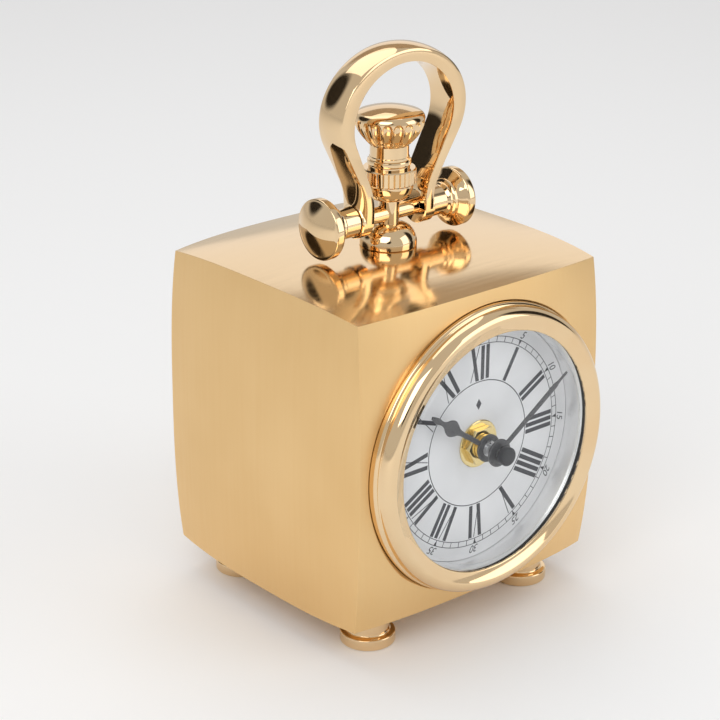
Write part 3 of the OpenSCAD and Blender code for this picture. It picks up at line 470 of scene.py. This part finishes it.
def bezel():
    """Base ring with a bead, a seam groove, and the convex front ring with its inner cone."""
    base = [(39.3, 6.2), (39.3, -1.6), (42.95, -1.6), (42.95, 2.2), (46.0, 2.2), (46.0, 4.4)]
    base += arc(44.9, 4.4, 1.1, 0, 80, 8) + [(44.7, 5.9), (44.4, 6.2)]
    place("bezel_base_ring", lathe("bezel_base_ring", base, dial_origin(0), FORWARD, 288),
          "clock", "polished_brass", ["bezel_base"])
    mid_r, mid_h, wide, tall = 42.5, 6.5, 2.9, 3.6
    crown = [(mid_r + wide * math.cos(math.radians(a)), mid_h + tall * math.sin(math.radians(a)))
             for a in range(0, 91, 6)]
    front = [(38.2, 8.5), (41.1, 8.5), (41.1, 6.25), (44.5, 6.25), (45.2, 6.3)] + crown
    front += [(42.0, 10.08), (41.6, 9.98), (41.3, 9.8), (38.5, 9.1), (38.3, 9.02), (38.2, 8.9)]
    place("bezel_front_ring", lathe("bezel_front_ring", front, dial_origin(0), FORWARD, 288),
          "clock", "polished_brass", ["bezel_front"])


def glass_dome():
    """Domed crystal of even wall, with its seat under the bezel's rim."""
    seat, rise, rim, wall, flange = 8.5, 7.6, 38.1, 1.4, 41.0
    angles = [math.radians(90 * i / 40) for i in range(41)]
    outer = [(rim * math.cos(a), seat + rise * math.sin(a)) for a in angles]
    inner = [((rim - wall) * math.cos(a), seat - wall + rise * math.sin(a)) for a in reversed(angles)]
    profile = inner + [(flange, seat - wall), (flange, seat)] + outer
    profile[0], profile[-1] = (0, profile[0][1]), (0, profile[-1][1])
    place("glass_dome", lathe("glass_dome", profile, dial_origin(0), FORWARD, 192),
          "clock", "glass", ["glass"])


def dial_cup():
    """Bright spun cup: the sloping reflective wall seen inside the bezel."""
    profile = [(4.05, -0.5), (38.4, -0.5), (38.4, 5.4), (38.7, 6.0), (39.3, 6.7), (40.9, 6.7),
               (40.9, 6.25), (39.2, 6.25), (39.0, 5.6), (39.0, -1.3), (4.05, -1.3)]
    place("dial_cup_spun", lathe("dial_cup_spun", profile, dial_origin(0), FORWARD, 192),
          "clock", "cup_aluminium", ["dial_cup"])


def dial_plate():
    profile = [(4.05, -0.5), (4.05, -0.05), (4.1, 0), (38.2, 0), (38.3, -0.1), (38.3, -0.5)]
    place("dial_plate", lathe("dial_plate", profile, dial_origin(0), FORWARD, 192),
          "clock", "dial_white", ["dial"])


STROKE = 1.4
STROKE_GAP = 0.68
HAIR = 0.28
NUMERAL_LOW, NUMERAL_HIGH = 20.6, 31.6
TRACK_LOW, TRACK_HIGH = 32.1, 33.9
PRINT_T = 0.02


def bar(x0, z0, x1, z1, width):
    """A printed stroke between two radii, cut square to the numeral's height."""
    return [(x0 - width / 2, z0), (x0 + width / 2, z0), (x1 + width / 2, z1), (x1 - width / 2, z1)]


def glyph(letter):
    """Strokes of one roman letter and its width; z runs 0 to 1 of the letter's height."""
    if letter == "I":
        return [(STROKE / 2, 0, STROKE / 2, 1, STROKE)], STROKE
    if letter == "V":
        wide = 3.4
        return [(wide / 2, 0, STROKE / 2, 1, STROKE), (wide / 2, 0, wide - 0.2, 1, HAIR)], wide
    wide = 3.6
    return [(wide - STROKE / 2, 0, STROKE / 2, 1, STROKE), (0.2, 0, wide - 0.2, 1, HAIR)], wide


def numeral(letters):
    """Outlines of one roman numeral standing on the inner circle, with its thin serif lines."""
    height = NUMERAL_HIGH - NUMERAL_LOW
    parts, cursor = [], 0.0
    for letter in letters:
        strokes, wide = glyph(letter)
        parts += [(cursor + x0, z0, cursor + x1, z1, w) for x0, z0, x1, z1, w in strokes]
        cursor += wide + STROKE_GAP
    total = cursor - STROKE_GAP
    return [bar(x0 - total / 2, NUMERAL_LOW + z0 * height, x1 - total / 2,
                NUMERAL_LOW + z1 * height, w) for x0, z0, x1, z1, w in parts]


def ring_marks(r, width, parts=120):
    """A printed circle as short four-sided marks."""
    out = []
    for i in range(parts):
        a, b = 2 * math.pi * i / parts, 2 * math.pi * (i + 1) / parts
        lo, hi = r - width / 2, r + width / 2
        out.append([(lo * math.sin(a), lo * math.cos(a)), (hi * math.sin(a), hi * math.cos(a)),
                    (hi * math.sin(b), hi * math.cos(b)), (lo * math.sin(b), lo * math.cos(b))])
    return out


def turned_points(points, degrees):
    c, s = math.cos(math.radians(degrees)), math.sin(math.radians(degrees))
    return [(x * c + z * s, z * c - x * s) for x, z in points]


ROMAN = ["XII", "I", "II", "III", "IIII", "V", "VI", "VII", "VIII", "IX", "X", "XI"]


def dial_printing():
    """Numerals, minute track and a small plain lozenge, printed on the dial."""
    at = (DIAL_X, DIAL_Z)
    y = DIAL_Y - PRINT_T * MM
    marks = []
    for hour, letters in enumerate(ROMAN):
        marks += [turned_points(o, 30 * hour) for o in numeral(letters)]
    place("dial_hours", slab("dial_hours", marks, PRINT_T, at, y), "clock", "dark_metal",
          material="dial_print")
    marks = ring_marks(20.2, 0.3) + ring_marks(TRACK_LOW, 0.22) + ring_marks(TRACK_HIGH, 0.22)
    for minute in range(60):
        marks.append(turned_points(bar(0, TRACK_LOW, 0, TRACK_HIGH, 0.24), 6 * minute))
        if minute % 5 == 0:
            marks.append(turned_points([(-0.6, TRACK_HIGH), (0.6, TRACK_HIGH), (0, TRACK_LOW)], 6 * minute))
    marks.append([(0, 14.6), (1.1, 12.8), (0, 11.0), (-1.1, 12.8)])
    place("dial_minutes", slab("dial_minutes", marks, PRINT_T, at, y), "clock", "dark_metal",
          material="dial_print")


def dial_figures():
    """Slanted minute figures outside the track, each standing on its own radius."""
    bm = bmesh.new()
    for minute in range(5, 61, 5):
        curve = bpy.data.curves.new("figure", "FONT")
        curve.body = str(minute)
        curve.size = 3.5 * MM
        curve.shear = 0.35
        curve.space_character = 0.92
        curve.align_x = "CENTER"
        curve.align_y = "CENTER"
        curve.resolution_u = 3
        curve.extrude = PRINT_T * MM / 2
        holder = bpy.data.objects.new("figure", curve)
        bpy.context.scene.collection.objects.link(holder)
        bpy.context.view_layer.update()
        graph = bpy.context.evaluated_depsgraph_get()
        mesh = bpy.data.meshes.new_from_object(holder.evaluated_get(graph))
        angle = math.radians(6 * minute)
        r = 35.5 * MM
        spot = Vector((DIAL_X + r * math.sin(angle), DIAL_Y - PRINT_T * MM / 2, DIAL_Z + r * math.cos(angle)))
        mesh.transform(Matrix.Translation(spot) @ Matrix.Rotation(angle, 4, "Y")
                       @ Matrix.Rotation(math.pi / 2, 4, "X"))
        bm.from_mesh(mesh)
        bpy.data.objects.remove(holder)
        bpy.data.curves.remove(curve)
        bpy.data.meshes.remove(mesh)
    place("dial_figures", finish_mesh("dial_figures", bm), "clock", "dark_metal", material="dial_print")


MINUTE_ANGLE = 56.0
HOUR_ANGLE = 300 + MINUTE_ANGLE / 12


def hub(name, forward, r, bore, thick):
    profile = [(bore, 0), (r, 0), (r, thick - 0.15), (r - 0.15, thick), (bore, thick)]
    return lathe(name, profile, dial_origin(forward), FORWARD, 96)


def joined(name, meshes):
    bm = bmesh.new()
    for mesh in meshes:
        bm.from_mesh(mesh)
    out = bpy.data.meshes.new(name)
    bm.to_mesh(out)
    bm.free()
    return out


def smooth_side(points, n=6):
    """Rounds an open outline through its points with Catmull-Rom spans."""
    out = []
    ends = [points[0]] + points + [points[-1]]
    for p0, p1, p2, p3 in zip(ends, ends[1:], ends[2:], ends[3:]):
        for i in range(n):
            t = i / n
            out.append(tuple(0.5 * (2 * b + (c - a) * t + (2 * a - 5 * b + 4 * c - d) * t * t
                                    + (3 * b - a - 3 * c + d) * t ** 3)
                             for a, b, c, d in zip(p0, p1, p2, p3)))
    return out + [points[-1]]


def hands():
    """Spade hour hand, plain minute hand and seconds cap, stacked in front of the dial."""
    at = (DIAL_X, DIAL_Z)
    hour_y, minute_y, cap_y, blade_t, soft = 4.4, 9.1, 11.2, 0.4, 0.08
    hub_r, hub_t, hour_bore, minute_bore = 4.4, 0.7, 2.51, 1.61
    side = smooth_side([(0.85, 2.0), (0.8, 10.0), (0.95, 14.6), (1.9, 16.6), (2.6, 18.4), (2.1, 20.2),
                        (1.0, 21.8), (0.72, 23.6), (0.95, 25.6), (0.5, 28.2), (0.1, 28.4)])
    outline = side + [(-x, z) for x, z in reversed(side)]
    blade = slab("hour_blade", [outline], blade_t, at, DIAL_Y - (hour_y + blade_t) * MM, HOUR_ANGLE, soft)
    mesh = joined("hour_hand_blade", [blade, hub("hour_hub", hour_y, hub_r, hour_bore, hub_t)])
    place("hour_hand_blade", mesh, "hour", "dark_metal", ["hour_hand"])
    side = [(0.8, 2.0), (0.85, 28.2), (0.7, 28.9), (0.42, 29.6), (0.35, 33.7), (0.2, 34.0)]
    outline = side + [(-x, z) for x, z in reversed(side)]
    blade = slab("minute_blade", [outline], blade_t, at, DIAL_Y - (minute_y + blade_t) * MM,
                 MINUTE_ANGLE, soft)
    mesh = joined("minute_hand_blade", [blade, hub("minute_hub", minute_y, hub_r, minute_bore, hub_t)])
    place("minute_hand_blade", mesh, "minute", "dark_metal", ["minute_hand"])
    cap = [(0, 0), (2.7, 0), (2.95, 0.25)] + arc(2.35, 2.0, 0.6, 0, 80, 6) + [(0, 2.62)]
    place("seconds_cap_turned", lathe("seconds_cap_turned", cap, dial_origin(cap_y), FORWARD, 96),
          "seconds", "black_plastic", ["seconds_cap"])


def washer_and_nut():
    profile = [(4.05, 0), (7.4, 0), (7.6, 0.15), (7.6, 0.45), (7.4, 0.6), (4.05, 0.6)]
    place("brass_washer_turned", lathe("brass_washer_turned", profile, dial_origin(0), FORWARD, 128),
          "clock", "bright_brass", ["brass_washer"])


# ---- stem, crown and handle -----------------------------------------------------------------

STEM = Vector((0, 0, CASE_TOP))


def stem():
    """Turned post: a bun foot, a plain neck and a small cup under the knurled collar."""
    neck_r, foot_z, cup_r, cup_z = 3.3, 1.2, 3.9, 19.8
    dome = [(neck_r + 5.6 * math.cos(math.radians(a)), foot_z + 5.8 * math.sin(math.radians(a)))
            for a in range(0, 91, 6)]
    cup = [(cup_r + 3.7 * math.sin(math.radians(a)), cup_z - 5.2 * math.cos(math.radians(a)))
           for a in range(0, 91, 6)]
    profile = [(0, 0.02), (8.6, 0.02), (8.9, 0.3), (8.9, 0.9)] + dome + [(neck_r, 14.4)] + cup + [(0, cup_z)]
    place("stem_turned", lathe("stem_turned", profile, STEM), "clock", "polished_brass", ["stem_pillar"])
    grooves, groove_depth, groove_power = 30, 0.45, 5
    bead_r, collar_r, low, high = 8.0, 8.4, 20.2, 24.4

    def knurl(angle, radius, height):
        """Rounded grooves that die out at the collar's top and bottom beads."""
        if radius < bead_r or not low < height < high:
            return radius
        return radius - groove_depth * max(0.0, math.cos(angle * grooves)) ** groove_power

    collar = [(2.6, 19.82), (bead_r, 19.82)]
    collar += [(collar_r, z) for z in (low, 20.35, 20.7, 22.2, 23.9, 24.25, high)]
    collar += [(bead_r, 24.78), (2.6, 24.78)]
    place("collar_knurled", lathe("collar_knurled", collar, STEM, UP, 448, knurl),
          "clock", "polished_brass", ["knurled_collar"])


def crown():
    """Bowl under a low smooth dome; scooped flutes with round tops run up to its widest part."""
    flutes, neck_r, rim_r, bowl_z, rim_z, top_z = 20, 6.0, 10.8, 31.9, 40.1, 43.9
    flute_low, flute_high = bowl_z + 0.1, rim_z + 0.3
    flute_share, round_from, depth_low, depth_gain = 0.9, 0.78, 0.45, 0.65
    bowl_power, roll_r = 1.9, 2.3

    def flute(angle, radius, height):
        """Hollows that widen upward between narrow ridges and end in a round top."""
        if not flute_low < height < flute_high or radius < neck_r - 0.2:
            return radius
        t = (height - flute_low) / (flute_high - flute_low)
        across = abs(((angle * flutes / (2 * math.pi)) % 1.0) * 2 - 1)
        rounded = math.sqrt(max(0.0, 1 - max(0.0, (t - round_from) / 0.22) ** 2))
        reach = flute_share * rounded * min(1.0, 8 * t) ** 0.5
        if across >= reach:
            return radius
        return radius - (depth_low + depth_gain * t) * reach * math.sqrt(1 - (across / reach) ** 2)

    neck = [(6.4, 24.82), (6.4, 25.6), (6.5, 25.75), (6.7, 25.9), (6.8, 26.2), (6.8, 27.1), (6.7, 27.4),
            (6.2, 27.6), (6.2, 28.3), (neck_r, 28.5), (neck_r, 31.8)]
    profile = [(0, 15.2), (2.5, 15.2), (2.5, 24.82)] + neck
    profile += [(neck_r + (rim_r - neck_r) * (1 - (1 - i / 40) ** bowl_power),
                 bowl_z + (rim_z - bowl_z) * i / 40) for i in range(41)]
    roll = arc(rim_r - roll_r, rim_z, roll_r, 0, 70, 18)
    edge_r, edge_z = roll[-1]
    profile += roll[1:]
    profile += [(edge_r * (1 - i / 16), top_z - (top_z - edge_z) * (1 - i / 16) ** 2) for i in range(1, 17)]
    place("crown_fluted", lathe("crown_fluted", profile, STEM, UP, 720, flute),
          "clock", "polished_brass", ["crown"])


def knobs():
    """Turned end knobs with stepped collars, and the bar between them."""
    face_r, tip_x, face_drop, rod_r = 8.9, 30.8, 2.6, 2.6
    for axes, name in ((LEFT, "knob_left"), (RIGHT, "knob_right")):
        profile = [(2.62, 24.1), (2.62, 15.0), (4.5, 15.0), (4.7, 15.2), (4.7, 20.4), (4.9, 20.7),
                   (5.3, 21.0), (5.5, 21.3), (5.5, 22.0), (5.9, 22.2), (6.2, 22.5), (6.3, 23.3),
                   (6.9, 23.6), (7.6, 24.2), (8.7, 24.9), (9.1, 25.2)]
        profile += arc(8.85, 25.9, 0.6, -60, 0, 5) + arc(8.95, 27.7, 0.5, 0, 85, 6)
        profile += [(face_r * (1 - i / 14), tip_x - face_drop * (1 - i / 14) ** 2) for i in range(15)]
        mesh = lathe(name + "_turned", profile, Vector((0, 0, BAR_Z)), axes, 160)
        place(name + "_turned", mesh, "clock", "polished_brass", [name])
    bar_half = (bar_high.x - bar_low.x) / 2 / MM
    rod = [(0, -bar_half), (2.4, -bar_half), (rod_r, -bar_half + 0.2), (rod_r, bar_half - 0.2),
           (2.4, bar_half), (0, bar_half)]
    place("crossbar_turned", lathe("crossbar_turned", rod, Vector((0, 0, BAR_Z)), RIGHT, 96),
          "clock", "polished_brass", ["crossbar"])


BOW_LEAN_DEG = 3
BOW_HALF_DEPTH = 5.45
LEG_IN_X, LEG_OUT_X = 10.45, 14.75
BAR_HOLE_R = 2.66
BOW_TOP_T = 4.9


def bow_side(leg, half_w, top, wide_z, flank, shoulder_r, sweep_r):
    """Half outline of the bow in mm above the crossbar, from the ear to the top."""
    f = math.radians(flank)
    cx, cz = half_w - shoulder_r, wide_z
    px, pz = cx + shoulder_r * math.cos(f), cz - shoulder_r * math.sin(f)
    dx = sweep_r * (1 - math.cos(f))
    qz = pz - (px - leg - dx) / math.tan(f)
    sx, sz = leg + sweep_r, qz - sweep_r * math.sin(f)
    points = arc(sx, sz, sweep_r, 180, 180 - flank, 14) + arc(cx, cz, shoulder_r, -flank, 0, 14)
    points += [(half_w * math.cos(math.radians(a)), wide_z + (top - wide_z) * math.sin(math.radians(a)))
               for a in [90 * i / 24 for i in range(1, 25)]]
    return points


def resampled(points, count):
    """The same line with evenly spaced points."""
    lengths = [0.0]
    for p, q in zip(points, points[1:]):
        lengths.append(lengths[-1] + math.dist(p, q))
    out, k = [], 0
    for i in range(count):
        want = lengths[-1] * i / (count - 1)
        while k < len(lengths) - 2 and lengths[k + 1] < want:
            k += 1
        span = lengths[k + 1] - lengths[k]
        t = 0 if span < 1e-9 else (want - lengths[k]) / span
        out.append((points[k][0] + (points[k + 1][0] - points[k][0]) * t,
                    points[k][1] + (points[k + 1][1] - points[k][1]) * t))
    return out


def carrying_bow():
    """Flat-fronted bow leaning a little forward: crowned outside, plain inside, of even depth."""
    lean = math.radians(BOW_LEAN_DEG)
    half = BOW_HALF_DEPTH
    bar_to_top = (bow_high.z - BAR_Z) / MM
    top_h = (bar_to_top - half * math.sin(lean)) / math.cos(lean)
    outer = bow_side(LEG_OUT_X, half_w=25.6, top=top_h, wide_z=32.6, flank=29, shoulder_r=17.6, sweep_r=18)
    inner = bow_side(LEG_IN_X, half_w=19.9, top=top_h - BOW_TOP_T, wide_z=31.1, flank=25, shoulder_r=14.2,
                     sweep_r=23)
    count = 96
    outer = resampled([(LEG_OUT_X, 0.0)] + outer, count)
    inner = resampled([(LEG_IN_X, 0.0)] + inner, count)
    spans = list(zip(outer, inner))
    spans += [((-o[0], o[1]), (-i[0], i[1])) for o, i in reversed(spans[:-1])]
    around = 12
    edge, nick = 0.3, 0.09
    crown_fall, crown_power, crown_inset = 0.9, 2.2, 0.22
    rings = []
    bm = bmesh.new()
    for (ox, oz), (ix, iz) in spans:
        thick = math.dist((ox, oz), (ix, iz))
        nx, nz = (ox - ix) / thick, (oz - iz) / thick
        shoulder = thick - crown_fall
        section = [(0, -half + edge), (nick, -half + nick), (edge, -half)]
        section += [(shoulder - edge, -half), (shoulder - nick, -half + nick)]
        for k in range(around + 1):
            across = -1 + 2 * k / around
            section.append((thick - crown_fall * abs(across) ** crown_power, across * (half - crown_inset)))
        section += [(shoulder - nick, half - nick), (shoulder - edge, half), (edge, half)]
        section += [(nick, half - nick), (0, half - edge)]
        rings.append([bm.verts.new(((ix + nx * s) * MM, d * MM, (iz + nz * s) * MM))
                      for s, d in section])
    for a, b in zip(rings, rings[1:]):
        for i in range(len(a)):
            j = (i + 1) % len(a)
            bm.faces.new((a[i], a[j], b[j], b[i]))
    bm.faces.new(rings[0])
    bm.faces.new(list(reversed(rings[-1])))
    ear = [(BAR_HOLE_R, LEG_IN_X), (half - edge, LEG_IN_X), (half, LEG_IN_X + edge),
           (half, LEG_OUT_X - edge), (half - edge, LEG_OUT_X), (BAR_HOLE_R, LEG_OUT_X)]
    ears = [lathe("ear", ear, Vector((0, 0, 0)), axes, 128) for axes in (LEFT, RIGHT)]
    mesh = joined("bow_polished", [finish_mesh("bow_arch", bm)] + ears)
    mesh.transform(Matrix.Translation((0, 0, BAR_Z)) @ Matrix.Rotation(lean, 4, "X"))
    place("bow_polished", mesh, "bow", "polished_brass", ["handle_bow"])


# ---- back ------------------------------------------------------------------------------------

RING_RECESS = 2.35 * MM
RING_SEAT_Y = CASE_MID.y + CASE_D / 2 - RING_RECESS


def ring_screws():
    """Four slotted cheese-head screws in the back ring."""
    low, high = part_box("rear_ring_screws")
    head_r, head_y, shank_r, slot_depth, slot_turn = 2.3, 0.75, 1.2, 0.3, 1.7
    floor_y = (high.y - RING_SEAT_Y) / MM - slot_depth
    reach = ((high.x - low.x) / 2 / MM - head_r) / math.cos(math.radians(45)) * MM
    meshes = []
    for angle in (45, 135, 225, 315):
        a = math.radians(angle)
        spot = Vector((reach * math.cos(a), RING_SEAT_Y, DIAL_Z + reach * math.sin(a)))
        shank = [(0, -5), (1.0, -5), (shank_r, -4.7), (shank_r, head_y), (head_r, head_y),
                 (head_r, floor_y), (0, floor_y)]
        meshes.append(lathe("shank", shank, spot, BACKWARD, 48))
        for side in (0, 180):
            edge = turned_points(arc(0, 0, head_r - 0.02, 7, 173, 20), side + angle * slot_turn)
            meshes.append(slab("half_head", [edge], slot_depth, (spot.x, spot.z),
                               RING_SEAT_Y + floor_y * MM))
    place("ring_screws_slotted", joined("ring_screws_slotted", meshes), "clock", "steel",
          ["rear_ring_screws"])


def door_pull():
    """Small turned knob with a waist and a domed end."""
    low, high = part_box("door_pull")
    centre = Vector(((low.x + high.x) / 2, 0, (low.z + high.z) / 2))
    r = (high.z - low.z) / 2 / MM
    rivet_l, rivet_r, dome_r, dome_drop = 1.4, 1.2, 2.6, 1.1
    foot_y, tip_y = low.y / MM + rivet_l, high.y / MM
    profile = [(0, low.y / MM), (rivet_r, low.y / MM), (rivet_r, foot_y), (r - 0.3, foot_y),
               (r - 0.1, foot_y + 0.15), (r - 0.1, foot_y + 0.7), (r - 0.8, foot_y + 1.1),
               (2.0, foot_y + 1.9), (1.9, foot_y + 2.8), (2.3, foot_y + 3.8)]
    profile += arc(r - 0.9, tip_y - 2.1, 0.9, -60, 60, 8)
    profile += [(dome_r * (1 - i / 8), tip_y - dome_drop * (1 - i / 8) ** 2) for i in range(9)]
    place("door_pull_turned", lathe("door_pull_turned", profile, centre, BACKWARD, 96),
          "door", "polished_brass", ["door_pull"])


# Edge rounding in mm of the parts that keep their CAD shape.
SOFTENED = {"rear_ring": 0.25, "rear_door": 0.35, "hinge_pin": 0.15, "hex_nut": 0.2,
            "movement_front": 0.4, "movement_rear": 0.4, "battery": 0.3, "stem_bolt": 0.25,
            "setting_knob": 0.12, "quartz_crystal": 0.15, "coil_bobbin": 0.15, "foot_screws": 0.15}


def softened_parts():
    """Parts with plain CAD shapes, remade with rounded edges that catch the light."""
    slots = {row["node"]: row["material_slot"] for row in frame["record"]["subparts"]}
    owner = {node: body for body, nodes in frame["record"]["behaviour"]["bodies"].items() for node in nodes}
    for node, width in SOFTENED.items():
        bm = bmesh.new()
        bm.from_mesh(frame["nodes"][node].data)
        bmesh.ops.remove_doubles(bm, verts=bm.verts, dist=1e-6)
        bmesh.ops.dissolve_limit(bm, angle_limit=math.radians(1), verts=bm.verts, edges=bm.edges)
        mesh = finish_mesh(node + "_softened", bm)
        piece = place(node + "_softened", mesh, owner[node], slots[node], [node])
        rounding = piece.modifiers.new("edges", "BEVEL")
        rounding.width = width * MM
        rounding.segments = 3
        rounding.angle_limit = math.radians(35)
        rounding.harden_normals = True


# ---- CAD nodes that keep their own shape ----------------------------------------------------

def finish_kept_nodes():
    """Gives every CAD node its material."""
    slots = {row["node"]: row["material_slot"] for row in frame["record"]["subparts"]}
    for node, piece in frame["nodes"].items():
        piece.data.materials.clear()
        piece.data.materials.append(MATERIALS[slots[node]])


# ---- stage, light and camera ----------------------------------------------------------------

def stage():
    bpy.ops.mesh.primitive_plane_add(size=40, location=(0, 0, 0))
    floor = bpy.context.object
    floor.name = "floor"
    floor.data.materials.append(new_material("floor_white", (0.95, 0.95, 0.95), 0.0, 0.75))


def area(name, size, power, place_at, aim, color=(1, 1, 1)):
    light = bpy.data.lights.new(name, "AREA")
    light.shape = "RECTANGLE"
    light.size, light.size_y = size
    light.energy = power
    light.color = color
    lamp = bpy.data.objects.new(name, light)
    lamp.location = place_at
    lamp.rotation_euler = (Vector(aim) - Vector(place_at)).to_track_quat("-Z", "Y").to_euler()
    bpy.context.scene.collection.objects.link(lamp)


def soft_card(name, tone):
    """Warm dark card that fades out towards its edge, so its reflection has no hard outline."""
    mat = new_material(name, (tone, 0.8 * tone, 0.6 * tone), 0.0, 0.9)
    nodes, links = mat.node_tree.nodes, mat.node_tree.links
    coord = nodes.new("ShaderNodeTexCoord")
    spread_out = nodes.new("ShaderNodeMapping")
    spread_out.inputs["Scale"].default_value = (2, 2, 2)
    ball = nodes.new("ShaderNodeTexGradient")
    ball.gradient_type = "SPHERICAL"
    fade = nodes.new("ShaderNodeMapRange")
    fade.interpolation_type = "SMOOTHSTEP"
    fade.inputs["From Min"].default_value = 0.02
    fade.inputs["From Max"].default_value = 0.45
    clear = nodes.new("ShaderNodeBsdfTransparent")
    mix = nodes.new("ShaderNodeMixShader")
    links.new(coord.outputs["Object"], spread_out.inputs["Vector"])
    links.new(spread_out.outputs["Vector"], ball.inputs["Vector"])
    links.new(ball.outputs["Fac"], fade.inputs["Value"])
    links.new(fade.outputs["Result"], mix.inputs["Fac"])
    links.new(clear.outputs["BSDF"], mix.inputs[1])
    links.new(nodes["Principled BSDF"].outputs["BSDF"], mix.inputs[2])
    links.new(mix.outputs["Shader"], nodes["Material Output"].inputs["Surface"])
    return mat


def flag(name, size, place_at, aim, tone=0.02):
    """Dark card beside the set: it shows only as the dark reflections in polished metal."""
    bpy.ops.mesh.primitive_plane_add(size=1, location=place_at)
    card = bpy.context.object
    card.name = name
    card.scale = (size[0], size[1], 1)
    card.rotation_euler = (Vector(aim) - Vector(place_at)).to_track_quat("Z", "Y").to_euler()
    card.data.materials.append(soft_card(name + "_card", tone))
    card.visible_camera = False
    card.visible_shadow = False
    card.visible_diffuse = False


WORLD_LIGHT = 0.62


def lights():
    """Even white surroundings, four soft lamps, and dark cards that give polished metal its contrast."""
    world = bpy.data.worlds.new("studio")
    world.use_nodes = True
    background = world.node_tree.nodes["Background"]
    background.inputs["Color"].default_value = (1, 1, 1, 1)
    background.inputs["Strength"].default_value = WORLD_LIGHT
    bpy.context.scene.world = world
    bpy.context.scene.view_settings.view_transform = "Standard"
    aim = (0, 0, 0.08)
    area("key", (0.7, 0.7), 3.6, (-0.75, -0.5, 0.75), aim)
    area("fill", (0.6, 0.8), 2.0, (0.6, -0.9, 0.45), aim)
    area("overhead", (0.8, 0.8), 2.0, (0.1, 0.35, 1.0), aim)
    area("back", (1.7, 0.5), 0.95, (1.0, 1.15, 0.66), (0, 0, 0.115), (1, 0.93, 0.90))
    flag("flag_left", (1.1, 1.2), (-0.52, 0.80, 0.62), aim)
    flag("flag_right", (0.5, 1.3), (0.84, -0.40, 0.40), aim)
    flag("flag_high", (1.5, 0.5), (0.56, 0.62, 0.80), aim, 0.5)
    flag("flag_near", (0.55, 0.5), (-0.70, -0.84, 0.52), aim)


def camera():
    """Long lens at three-quarter view, above and to the left of the dial."""
    data = bpy.data.cameras.new("camera")
    data.sensor_width = 36.0
    data.lens = 104.17
    data.clip_start = 0.01
    cam = bpy.data.objects.new("camera", data)
    eye = Vector((-0.4070, -0.4563, 0.3180))
    right = Vector((0.7573, -0.6530, 0.0079))
    back = Vector((-0.6090, -0.7019, 0.3693)).normalized()
    up = back.cross(right).normalized()
    right = up.cross(back).normalized()
    basis = Matrix((right, up, back)).transposed().to_4x4()
    cam.matrix_world = Matrix.Translation(eye) @ basis
    bpy.context.scene.collection.objects.link(cam)
    bpy.context.scene.camera = cam


finish_kept_nodes()
case_shell()
feet()
bezel()
glass_dome()
dial_cup()
dial_plate()
dial_printing()
dial_figures()
washer_and_nut()
hands()
stem()
crown()
knobs()
carrying_bow()
ring_screws()
door_pull()
softened_parts()
stage()
lights()
camera()
